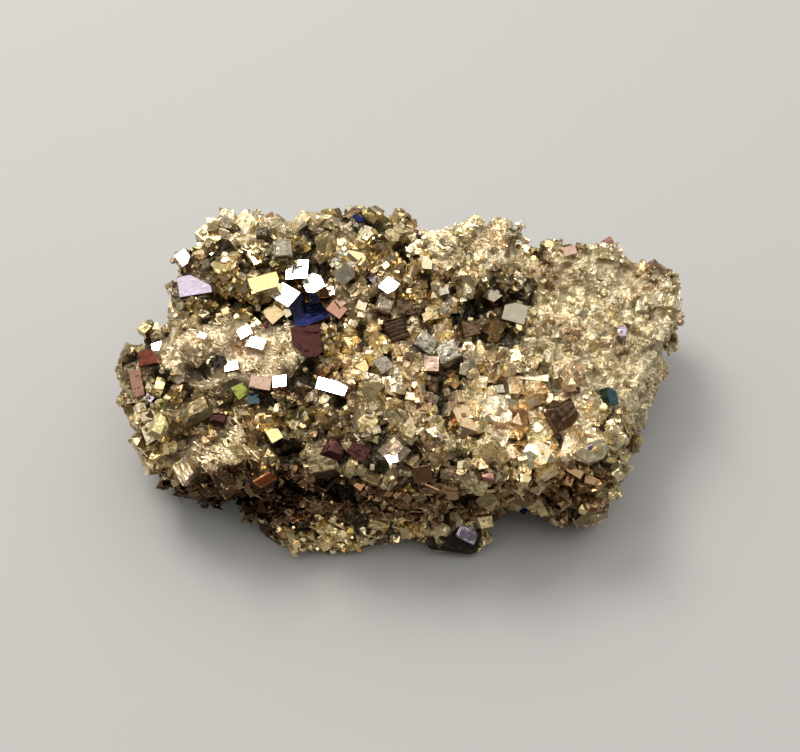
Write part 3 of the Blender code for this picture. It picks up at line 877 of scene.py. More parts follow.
@dataclass(frozen=True)
class LargeCrystal:
    """One of the crystals that stand out by themselves. Its angles are in degrees.

    Attributes:
        tip_mm: the middle of its outer face.
        edges_mm: that face's two edges and the crystal's depth.
        lean: how far the outer face's normal leans along X and Y for each 1 that it rises.
        spin: its turn about that normal.
        face: the tint of its outer face.
        sides: the tint of its other faces.
        polish: from 0, broken, to 1, mirror.
        skin: how its outer face grew.
        nicks: corners that are missing, each as the direction of the cut in the outer face and how far out it
            lies as a share of the face's half diagonal.
    """

    tip_mm: tuple[float, float, float]
    edges_mm: tuple[float, float, float]
    lean: tuple[float, float]
    spin: float
    face: Tint = Tint.PALE
    sides: Tint = Tint.GOLD
    polish: float = 1.0
    skin: Skin = Skin.FLAT
    nicks: tuple[tuple[float, float], ...] = ()

    @property
    def facing(self) -> Vector:
        """The outer face's normal."""
        return Vector((*self.lean, 1.0)).normalized()

    @property
    def turn(self) -> Matrix:
        """The crystal's own axes as the columns of a 3 by 3 matrix."""
        upright = Vector((0.0, 0.0, 1.0)).rotation_difference(self.facing)
        return upright.to_matrix() @ Matrix.Rotation(math.radians(self.spin), 3, "Z")

    @property
    def centre(self) -> Vector:
        """The crystal's middle, in the specimen's own place."""
        sunk = self.facing * (self.edges_mm[2] * MM / 2.0)
        return Vector(self.tip_mm) * MM - sunk - DRAWN_MIDDLE

    def outside(self, points: np.ndarray) -> np.ndarray:
        """How far each of (n, 3) points is outside this crystal's block, negative inside it."""
        own = (points - np.array(self.centre)) @ np.array(self.turn)
        return (np.abs(own) - np.array(self.edges_mm) * MM / 2.0).max(axis=1)

    def covers(self, points: np.ndarray, reach: np.ndarray) -> np.ndarray:
        """Which spheres stand over this crystal's outer face, seen from the side where the druse opens.

        Args:
            points: their middles, an (n, 3) array.
            reach: their radii.

        Returns:
            A mask.
        """
        turn = np.array(self.turn)
        tip = np.array(self.centre) + turn[:, 2] * (self.edges_mm[2] * MM / 2.0)
        own = (points - tip) @ turn
        slope = np.array(OPEN_SIDE) @ turn
        foot = own[:, :2] - own[:, 2:] * (slope[:2] / slope[2])
        over = (np.abs(foot) - reach[:, None] < np.array(self.edges_mm[:2]) * MM / 2.0).all(axis=1)
        return over & (own[:, 2] > -reach) & (own[:, 2] < OPEN_HEIGHT)

    def model(self, edge_round: float) -> bmesh.types.BMesh:
        """Models the crystal.

        Args:
            edge_round: how far its edges are rounded off.

        Returns:
            The closed crystal about its own middle and along its own axes.
        """
        sizes = Vector(self.edges_mm) * MM
        bm = bmesh.new()
        bmesh.ops.create_cube(bm, size=1.0, matrix=Matrix.Diagonal((*sizes, 1.0)))
        half_diagonal = sizes.xy.length / 2.0
        for direction, share in self.nicks:
            angle = math.radians(direction)
            cut_off(bm, Vector((math.cos(angle), math.sin(angle), NICK_LEAN)), share * half_diagonal)
        getattr(self, "_" + self.skin.name.lower())(bm, sizes)
        rounded(bm, edge_round)
        return bm

    def outer(self, bm: bmesh.types.BMesh) -> bmesh.types.BMFace:
        """The outer face."""
        return max(bm.faces, key=lambda face: (face.normal.z > UPWARD) * face.calc_center_median().z)

    def _flat(self, bm: bmesh.types.BMesh, sizes: Vector) -> None:
        """Leaves the face as it is."""

    def _granular(self, bm: bmesh.types.BMesh, sizes: Vector) -> None:
        """Leaves the face as it is, since grains are set on it."""

    def _inset(
        self,
        bm: bmesh.types.BMesh,
        sizes: Vector,
        form: tuple[float, float, float],
        rise: float,
        stepped: bool = True,
    ) -> None:
        """Leaves a rim around the outer face and moves what is inside it.

        Args:
            bm: the block.
            sizes: its edges.
            form: the rim's width and how far the inside is off the middle, as TERRACE has them.
            rise: how far the inside rises.
            stepped: whether upright walls join it to the rim, and not slopes.
        """
        rim, along, across = form
        face = self.outer(bm)
        bmesh.ops.inset_individual(bm, faces=[face], thickness=rim * min(sizes.xy))
        if stepped:
            face = bmesh.ops.extrude_discrete_faces(bm, faces=[face])["faces"][0]
        bmesh.ops.translate(bm, verts=face.verts, vec=Vector((along * sizes.x, across * sizes.y, rise)))

    def _terraced(self, bm: bmesh.types.BMesh, sizes: Vector) -> None:
        """Raises most of the face by a thin step."""
        self._inset(bm, sizes, TERRACE, TERRACE_RISE)

    def _pitted(self, bm: bmesh.types.BMesh, sizes: Vector) -> None:
        """Sinks a small hollow off the face's middle."""
        self._inset(bm, sizes, PIT, -PIT_DEPTH)

    def _peaked(self, bm: bmesh.types.BMesh, sizes: Vector) -> None:
        """Draws the face up to an uneven peak."""
        self._inset(bm, sizes, PEAK, PEAK_RISE * min(sizes.xy), stepped=False)

    def _folded(self, bm: bmesh.types.BMesh, sizes: Vector) -> None:
        """Splits the face into fine folds that wander along one axis.

        Args:
            bm: the block.
            sizes: its edges.
        """
        face = self.outer(bm)
        part = [face, *face.edges, *face.verts]
        for axis, pitch in enumerate(FOLDS):
            across = Vector((axis == 0, axis == 1, 0.0))
            count = int(sizes[axis] / pitch)
            for row in range(1, count):
                place = across * ((row / count - 0.5) * sizes[axis])
                part = bmesh.ops.bisect_plane(bm, geom=part, plane_co=place, plane_no=across)["geom"]
        for vert in {item for item in part if isinstance(item, bmesh.types.BMVert)}:
            along, wide = (FOLD_NOISE * vert.co[axis] / pitch for axis, pitch in enumerate(FOLDS))
            vert.co.z += FOLD_RISE * noise.noise(Vector((along, wide, sizes.x / MM)))

    def _ribbed(self, bm: bmesh.types.BMesh, sizes: Vector) -> None:
        """Cuts every face into ribs across one axis, and moves them in and out by turns.

        Args:
            bm: the block.
            sizes: its edges.
        """
        for row in range(1, int(sizes.y / RIB_PITCH)):
            place = Vector((0.0, -sizes.y / 2.0 + row * RIB_PITCH, 0.0))
            everything = bm.verts[:] + bm.edges[:] + bm.faces[:]
            bmesh.ops.bisect_plane(bm, geom=everything, plane_co=place, plane_no=Vector((0.0, 1.0, 0.0)))
        for vert in bm.verts:
            row = round((vert.co.y + sizes.y / 2.0) / RIB_PITCH)
            uneven = RIB_SWELL[1] * noise.cell(Vector((row, 0.0, 0.0)))
            swell = 1.0 + RIB_SWELL[0] * (1 if row % 2 else -1) + uneven
            vert.co.x *= swell
            vert.co.z *= swell


EVEN = (-0.2, -0.03)  # the lean that many of the crystals share
SOFT = (-0.02, 0.0)  # the lean of those that shine less
CRYSTALS = {
    # The druse at the upper left.
    "ledge_plate": LargeCrystal(
        (-30.9, 12.0, 22.2), (4.9, 3.5, 2.6), (0.05, -0.12), 12, Tint.LILAC, Tint.BROWN,
        nicks=((50, 0.42), (100, 0.7)),
    ),
    "ledge_tip": LargeCrystal(
        (-32.8, 16.5, 22.8), (1.9, 2.5, 3.2), (-0.11, -0.07), 35, Tint.WHITE, Tint.PALE,
        nicks=((-50, 0.7),),
    ),
    "left_plate": LargeCrystal(
        (-19.9, 9.7, 26.2), (4.5, 2.7, 3.4), (0.04, 0.0), 20, Tint.LEMON, Tint.TAN,
        nicks=((-25, 0.85), (215, 0.88)),
    ),
    "left_brick": LargeCrystal(
        (-17.0, 8.4, 25.1), (4.0, 2.9, 3.9), EVEN, -38, Tint.WHITE, Tint.GOLD, nicks=((150, 0.9),),
    ),
    "pair_square": LargeCrystal(
        (-15.2, 12.0, 26.2), (3.4, 3.3, 3.6), EVEN, -3, Tint.WHITE, Tint.GREY, skin=Skin.PITTED,
    ),
    "pair_turned": LargeCrystal(
        (-12.8, 10.0, 25.6), (2.9, 3.3, 3.8), EVEN, 25, Tint.WHITE, Tint.TAN, skin=Skin.TERRACED,
        nicks=((40, 0.78), (230, 0.86)),
    ),
    "druse_small": LargeCrystal(
        (-10.6, 9.8, 23.6), (1.7, 1.5, 2.6), EVEN, 10, Tint.WHITE, Tint.GOLD, skin=Skin.PITTED,
    ),
    "druse_tan": LargeCrystal(
        (-18.5, 7.5, 21.9), (3.5, 2.7, 4.2), (-0.02, -0.25), 42, Tint.TAN, Tint.BROWN, 0.9,
    ),
    "druse_chip": LargeCrystal(
        (-16.4, 6.9, 22.6), (1.7, 1.4, 4.4), EVEN, 30, Tint.WHITE, Tint.BROWN, nicks=((20, 0.7),),
    ),
    "dark_block": LargeCrystal(
        (-13.5, 6.3, 23.1), (5.2, 4.1, 5.4), (0.0, 0.14), 27, Tint.BLUE, Tint.MAROON, 0.7,
        nicks=((160, 0.8), (70, 0.92)),
    ),
    "dark_front": LargeCrystal(
        (-13.5, 0.8, 24.0), (4.2, 4.8, 3.0), (0.08, -0.45), 8, Tint.MAROON, Tint.MAROON, 0.9,
        nicks=((-140, 0.6), (-60, 0.85)),
    ),
    "druse_rose": LargeCrystal(
        (-9.4, 7.6, 22.2), (2.6, 2.1, 3.8), (0.12, -0.2), -35, Tint.ROSE, Tint.BROWN, 0.95,
    ),
    "druse_pink": LargeCrystal(
        (-8.7, 8.6, 22.8), (1.4, 1.5, 3.6), (0.2, -0.1), -50, Tint.BLUSH, Tint.PALE, 0.8,
    ),
    "ridge_grey": LargeCrystal(
        (-17.3, 14.6, 28.0), (2.7, 2.6, 3.2), (0.1, -0.3), 8, Tint.STEEL, Tint.OLIVE, 0.5, Skin.TERRACED,
        ((100, 0.8),),
    ),
    "ridge_foot": LargeCrystal(
        (-8.2, 13.0, 26.6), (3.3, 3.0, 3.6), (-0.25, -0.4), 30, Tint.GREY, Tint.GOLD, 0.35, Skin.GRANULAR,
    ),
    "ridge_top": LargeCrystal(
        (-6.2, 19.7, 28.5), (1.4, 1.4, 2.6), (0.1, -0.2), 15, Tint.BLUE, Tint.BLUE, 0.9,
        nicks=((45, 0.5), (200, 0.6)),
    ),
    # The middle.
    "middle_bright": LargeCrystal(
        (-1.6, 9.0, 26.4), (2.3, 2.5, 3.6), EVEN, 48, Tint.WHITE, Tint.GREY, skin=Skin.TERRACED,
        nicks=((250, 0.8),),
    ),
    "middle_grey": LargeCrystal(
        (-2.2, 7.2, 24.2), (2.4, 2.3, 3.4), (-0.1, -0.3), -20, Tint.STEEL, Tint.BROWN, 0.4, Skin.TERRACED,
    ),
    "middle_brown": LargeCrystal(
        (0.8, 7.2, 23.4), (2.6, 2.3, 3.4), (0.4, -0.4), 12, Tint.UMBER, Tint.TAN, 0.6,
    ),
    "ribbed_cube": LargeCrystal(
        (-0.4, 3.6, 23.0), (3.1, 3.3, 4.6), (0.35, -0.1), 28, Tint.SMOKE, Tint.UMBER, 0.6, Skin.RIBBED,
    ),
    "stair_low": LargeCrystal(
        (3.8, 0.6, 24.2), (3.1, 2.6, 3.6), (0.1, -0.35), -32, Tint.STEEL, Tint.BROWN, 0.35, Skin.TERRACED,
    ),
    "stair_high": LargeCrystal(
        (6.9, -1.6, 25.4), (3.1, 2.8, 3.6), (0.0, -0.3), 24, Tint.STEEL, Tint.BEIGE, 0.3, Skin.TERRACED,
        ((120, 0.85),),
    ),
    "stair_front": LargeCrystal(
        (4.5, -3.2, 24.6), (2.2, 2.3, 3.0), (-0.1, -0.2), -4, Tint.BLUSH, Tint.BROWN, 0.5,
    ),
    "middle_left": LargeCrystal(
        (-2.4, -3.0, 24.2), (2.3, 2.3, 3.0), (0.3, -0.2), 40, Tint.STEEL, Tint.OLIVE, 0.5,
        nicks=((60, 0.8),),
    ),
    "middle_right": LargeCrystal(
        (10.4, 3.8, 23.0), (2.4, 2.2, 3.4), (0.2, -0.4), 15, Tint.UMBER, Tint.BROWN, 0.4,
    ),
    "vug_cube": LargeCrystal(
        (16.9, 6.0, 23.8), (3.5, 3.0, 4.6), (0.1, -0.3), -14, Tint.STEEL, Tint.UMBER, 0.85,
        nicks=((120, 0.75),),
    ),
    "vug_lining": LargeCrystal(
        (13.7, 9.2, 23.5), (2.6, 2.1, 3.6), SOFT, 40, Tint.STEEL, Tint.BROWN, 0.8, nicks=((200, 0.7),),
    ),
    "behind_stair": LargeCrystal(
        (15.2, -2.2, 23.8), (2.4, 2.1, 3.0), (0.25, -0.2), 33, Tint.TAN, Tint.BROWN, 0.4, Skin.GRANULAR,
    ),
    # The left lobe.
    "lobe_white": LargeCrystal(
        (-22.8, 3.6, 22.4), (2.2, 1.9, 3.0), EVEN, 28, Tint.WHITE, Tint.GOLD, nicks=((0, 0.75),),
    ),
    "lobe_lilac": LargeCrystal(
        (-21.1, 1.9, 22.0), (2.9, 2.0, 3.2), (-0.12, -0.1), -18, Tint.MILK, Tint.MILK, 0.75, Skin.TERRACED,
    ),
    "lobe_back": LargeCrystal((-28.9, 2.6, 22.9), (1.3, 0.9, 2.2), EVEN, -30, Tint.WHITE, Tint.BEIGE),
    "lobe_red": LargeCrystal(
        (-37.0, 0.0, 21.0), (3.0, 2.3, 3.4), (-0.3, -0.25), 5, Tint.RED, Tint.BROWN, 0.85,
        nicks=((30, 0.75),),
    ),
    "lobe_side": LargeCrystal(
        (-38.7, -3.0, 18.6), (1.9, 4.0, 3.8), (-0.35, -0.5), 8, Tint.ROSE, Tint.BROWN, 0.9,
    ),
    "lobe_rim": LargeCrystal(
        (-35.8, 1.8, 21.0), (1.6, 1.6, 2.6), EVEN, 12, Tint.WHITE, Tint.PALE, nicks=((-30, 0.65),),
    ),
    "lobe_spark": LargeCrystal(
        (-24.6, -1.7, 21.4), (2.1, 1.6, 3.0), EVEN, 8, Tint.WHITE, Tint.BROWN, nicks=((135, 0.7),),
    ),
    "lobe_square": LargeCrystal((-17.3, -5.0, 22.7), (2.1, 1.9, 2.6), EVEN, 3, Tint.WHITE, Tint.ROSE),
    "lobe_pink": LargeCrystal(
        (-20.1, -4.8, 21.9), (3.1, 1.9, 2.4), (0.1, -0.3), -8, Tint.BLUSH, Tint.BROWN, 0.7,
    ),
    "lobe_black": LargeCrystal(
        (-26.3, -1.1, 21.8), (2.0, 1.8, 2.4), (0.3, -0.5), 30, Tint.SMOKE, Tint.SMOKE, 0.9,
        nicks=((45, 0.7), (200, 0.8)),
    ),
    "lobe_bar": LargeCrystal(
        (-9.8, -6.4, 23.7), (4.9, 1.9, 3.4), EVEN, -22, Tint.WHITE, Tint.TAN,
        nicks=((75, 0.5), (190, 0.93)),
    ),
    "lobe_green": LargeCrystal(
        (-23.3, -4.7, 19.6), (2.0, 2.3, 3.4), (0.25, -0.35), 38, Tint.GREEN, Tint.OLIVE, 0.6,
        nicks=((80, 0.7),),
    ),
    "lobe_teal": LargeCrystal(
        (-21.3, -5.9, 19.2), (1.7, 1.6, 3.2), (0.1, -0.3), 10, Tint.TEAL, Tint.BROWN, 0.7,
    ),
    # The lower left lobe and the front.
    "corner_bright": LargeCrystal(
        (-34.6, -10.4, 19.0), (2.8, 3.8, 4.2), (-0.25, -0.15), -28, Tint.LEMON, Tint.PALE, 0.75,
        Skin.PEAKED, ((30, 0.7),),
    ),
    "corner_low": LargeCrystal(
        (-36.0, -10.4, 17.4), (3.0, 2.8, 3.8), (-0.5, -0.4), 20, Tint.PALE, Tint.GOLD, 0.3, Skin.GRANULAR,
    ),
    "crack_yellow": LargeCrystal(
        (-18.3, -11.5, 18.4), (2.4, 2.1, 4.2), (0.08, -0.2), 32, Tint.LEMON, Tint.BROWN, 0.9,
        nicks=((180, 0.6), (60, 0.8)),
    ),
    "striated": LargeCrystal(
        (-29.4, -7.4, 18.6), (5.6, 3.6, 3.4), (0.0, -0.15), 25, Tint.BRONZE, Tint.OLIVE, 0.2, Skin.PEAKED,
        ((0, 0.6), (150, 0.8)),
    ),
    "maroon_block": LargeCrystal(
        (-26.3, -9.0, 18.7), (2.4, 1.9, 3.0), (0.1, -0.3), -15, Tint.MAROON, Tint.MAROON, 0.7, Skin.PEAKED,
        ((120, 0.75),),
    ),
    "fan": LargeCrystal(
        (-31.1, -16.0, 16.2), (4.4, 2.4, 3.6), (-0.35, -0.6), -65, Tint.BEIGE, Tint.GOLD, 0.25, Skin.FOLDED,
        ((180, 0.7), (20, 0.65), (-150, 0.8)),
    ),
    "front_grey": LargeCrystal(
        (-10.9, -16.6, 20.9), (4.2, 3.4, 4.4), (0.1, -0.35), 12, Tint.BRONZE, Tint.BROWN, 0.3,
        Skin.TERRACED,
    ),
    "front_dark": LargeCrystal(
        (-9.4, -15.1, 21.4), (3.8, 3.0, 4.0), (0.1, -0.25), -18, Tint.MAROON, Tint.SMOKE, 0.5, Skin.PEAKED,
        ((170, 0.6), (50, 0.65)),
    ),
    "front_maroon": LargeCrystal(
        (-5.8, -15.5, 21.3), (2.8, 2.2, 3.0), (0.2, -0.3), -30, Tint.MAROON, Tint.BROWN, 0.5,
        nicks=((120, 0.7),),
    ),
    "front_orange": LargeCrystal(
        (-19.3, -17.6, 16.3), (4.4, 1.5, 3.6), (0.1, -0.8), 32, Tint.ORANGE, Tint.GOLD, 0.8, Skin.TERRACED,
        ((20, 0.62), (200, 0.66), (110, 0.7)),
    ),
    "front_round": LargeCrystal(
        (4.5, -14.3, 21.6), (4.0, 3.7, 4.4), (0.15, -0.4), 35, Tint.GREY, Tint.BEIGE, 0.3, Skin.GRANULAR,
    ),
    "front_peak": LargeCrystal(
        (-0.8, -15.6, 21.6), (3.4, 3.4, 4.0), (-0.1, -0.35), 44, Tint.BEIGE, Tint.TAN, 0.15, Skin.PEAKED,
        ((-90, 0.8),),
    ),
    "front_square": LargeCrystal(
        (-1.2, -17.0, 21.9), (1.8, 1.3, 2.4), EVEN, 6, Tint.WHITE, Tint.TAN, nicks=((200, 0.7),),
    ),
    "front_low": LargeCrystal(
        (3.2, -18.4, 19.8), (2.6, 2.4, 3.8), (0.1, -0.9), 10, Tint.BROWN, Tint.BROWN, 0.4, Skin.GRANULAR,
    ),
    "front_ribbed": LargeCrystal(
        (23.3, -10.2, 22.0), (4.3, 3.7, 4.4), (0.3, -0.35), 30, Tint.UMBER, Tint.BROWN, 0.25, Skin.PEAKED,
        ((-60, 0.75),),
    ),
    "front_lump": LargeCrystal(
        (24.9, -14.6, 20.2), (4.0, 3.1, 4.4), (-0.1, -0.3), -18, Tint.PALE, Tint.BEIGE, 0.3, Skin.GRANULAR,
    ),
    "foot_lilac": LargeCrystal(
        (10.0, -21.3, 5.5), (3.2, 2.2, 2.0), (0.35, -0.45), -22, Tint.LILAC, Tint.SMOKE, 0.7, Skin.TERRACED,
        ((60, 0.75), (-110, 0.8)),
    ),
    "foot_block": LargeCrystal(
        (8.2, -21.6, 3.7), (7.6, 4.0, 2.0), (0.15, -1.2), -8, Tint.SMOKE, Tint.SMOKE, 0.6,
        nicks=((160, 0.8), (-120, 0.8), (-60, 0.75)),
    ),
    "front_teal": LargeCrystal(
        (30.4, -7.2, 22.4), (1.6, 2.6, 3.2), (0.5, -0.3), 15, Tint.TEAL, Tint.TEAL, 0.5, nicks=((60, 0.7),),
    ),
    # The right lobe.
    "right_lilac": LargeCrystal(
        (33.0, 4.6, 20.6), (1.5, 2.1, 2.8), (0.1, -0.2), -12, Tint.LILAC, Tint.BEIGE, 0.5, Skin.PEAKED,
        ((90, 0.8), (230, 0.7)),
    ),
    "right_back": LargeCrystal(
        (32.2, 19.0, 20.4), (3.1, 2.0, 3.2), (0.0, -0.1), -4, Tint.BRONZE, Tint.OLIVE, 0.3, Skin.GRANULAR,
    ),
    "right_rose": LargeCrystal(
        (26.0, 18.8, 21.4), (2.1, 1.5, 2.8), (0.1, -0.2), 18, Tint.BLUSH, Tint.BEIGE, 0.8,
    ),
}


@dataclass
class LargeCrystals:
    """The crystals that stand out by themselves, as one piece.

    Attributes:
        crystals: the crystals by name.
        edge_round: how far their edges are rounded off.
    """

    crystals: dict[str, LargeCrystal] = field(default_factory=lambda: CRYSTALS)
    edge_round: float = 0.05 * MM

    def build(self, finish: bpy.types.Material) -> bpy.types.Object:
        """Models every crystal and joins them.

        Args:
            finish: their material.

        Returns:
            The piece.
        """
        shapes = [(crystal, Shape.of(crystal.model(self.edge_round))) for crystal in self.crystals.values()]
        groups = [(shape, self._row(crystal)) for crystal, shape in shapes]
        return joined("large_crystals", groups, finish, self._paint(shapes))

    def _row(self, crystal: LargeCrystal) -> Crystals:
        """One crystal as rows of one."""
        place = (np.array([crystal.centre]), np.array([crystal.turn]), np.ones((1, 3)))
        return Crystals(*place, np.array([crystal.sides.value]), np.array([crystal.polish]))

    def _paint(self, shapes: list[tuple[LargeCrystal, Shape]]) -> np.ndarray:
        """Colours the outer faces and the others, each by its own tint.

        Args:
            shapes: each crystal with its arrays.

        Returns:
            The colour of every point, an (n, 3) array.
        """
        tints = []
        for crystal, shape in shapes:
            outer = shape.points[:, 2] > crystal.edges_mm[2] * MM / 2.0 - FACE_RIM * self.edge_round
            tints.append(np.where(outer[:, None], crystal.face.value, crystal.sides.value))
        return np.concatenate(tints)

    def covered(self, points: np.ndarray, reach: np.ndarray) -> np.ndarray:
        """Which spheres stand over some crystal's clean face, as LargeCrystal.covers says."""
        clean = [crystal for crystal in self.crystals.values() if crystal.skin is not Skin.GRANULAR]
        return np.any([crystal.covers(points, reach) for crystal in clean], axis=0)

    def nearest(self, points: np.ndarray, skins: tuple[Skin, ...]) -> np.ndarray:
        """How far each point is outside the nearest crystal with one of some skins.

        Args:
            points: an (n, 3) array.
            skins: the skins that count.

        Returns:
            One distance for each point, negative inside a crystal.
        """
        chosen = [crystal for crystal in self.crystals.values() if crystal.skin in skins]
        return np.min([crystal.outside(points) for crystal in chosen], axis=0)


# ---- The massive body ----


FIBRE_TURN = -28.0  # the direction along X and Y in which the fibres lie, in degrees
CLEFT_SPACING = 6.5 * MM
CLEFT_WIDTH = 0.2  # against their spacing
CLEFT_FLOOR = 0.3  # the width of their floor, against their own
CLEFT_BEND = (0.35, 1.7)  # how far noise bends them, and how fine that noise is
LUMP_BEND = (0.3, 0.7)  # the same for the lumps
LUMP_FALL = 1.3  # how steeply a lump falls away
HOLLOW_FLOOR = 0.35  # the radius of a hollow's floor, against its own
TILT_KEY, LEVEL_KEY = 37.3, 71.9  # each gives a chip its own random number
WELD = 0.001 * MM  # points closer than this are one point


def vectors(items: bpy.types.bpy_prop_collection, name: str) -> np.ndarray:
    """Reads a vector of each of a mesh's items.

    Args:
        items: its points, or their normals.
        name: what the vector is called there.

    Returns:
        An (n, 3) array.
    """
    values = np.empty(len(items) * 3)
    items.foreach_get(name, values)
    return values.reshape(-1, 3)


def bent(point: Vector, strength: float, fineness: float) -> Vector:
    """Moves a point by smooth noise, which bends the walls of the cells that it lies among."""
    return point + strength * noise.noise_vector(point * fineness)


def cleft(points: np.ndarray) -> np.ndarray:
    """How much each point lies in a cleft between clusters of crystals, from 0 to 1.

    Args:
        points: an (n, 3) array in metres.

    Returns:
        One number for each point.
    """
    spans = []
    for at in (points / CLEFT_SPACING).tolist():
        nearest, second = noise.voronoi(bent(Vector(at), *CLEFT_BEND))[0][:2]
        spans.append(second - nearest)
    return ramp(np.array(spans), CLEFT_WIDTH, CLEFT_FLOOR * CLEFT_WIDTH)


@dataclass(frozen=True)
class Hollow:
    """A gap where crystals meet.

    Attributes:
        middle_mm: its middle.
        radius_mm: its radius.
    """

    middle_mm: tuple[float, float, float]
    radius_mm: float

    def share(self, points: np.ndarray) -> np.ndarray:
        """How deep in the hollow points are.

        Args:
            points: an (n, 3) array in metres.

        Returns:
            One number for each point, from 0 at its rim to 1.
        """
        middle = np.array(Vector(self.middle_mm) * MM - DRAWN_MIDDLE)
        away = np.linalg.norm(points - middle, axis=1)
        return ramp(away, self.radius_mm * MM, HOLLOW_FLOOR * self.radius_mm * MM)


HOLLOWS = (
    Hollow((14.8, 8.6, 23.2), 2.2), Hollow((19.4, 11.6, 21.9), 1.6), Hollow((-16.3, -13.2, 16.4), 2.8),
    Hollow((-12.0, -2.1, 22.4), 1.5), Hollow((-29.5, -1.1, 18.9), 2.3), Hollow((-8.9, -8.9, 22.6), 1.5),
    Hollow((18.5, -16.5, 19.2), 1.6), Hollow((-1.8, 6.1, 22.6), 1.4), Hollow((5.9, 5.3, 23.3), 1.3),
    Hollow((-8.4, -18.9, 14.8), 3.2), Hollow((12.8, -18.6, 18.7), 1.4),
)


def hollow(points: np.ndarray) -> np.ndarray:
    """How deep in some hollow each of (n, 3) points is, from 0 to 1."""
    return np.max([each.share(points) for each in HOLLOWS], axis=0)


@dataclass(frozen=True)
class Ground:
    """Points of the solid's surface, one row each, with what lies there.

    Attributes:
        points: the points.
        traits: their character.
        clefts: how deep in a cleft they are, from 0 to 1.
        hollows: how deep in a hollow they are, from 0 to 1.
    """

    points: np.ndarray
    traits: np.ndarray
    clefts: np.ndarray
    hollows: np.ndarray


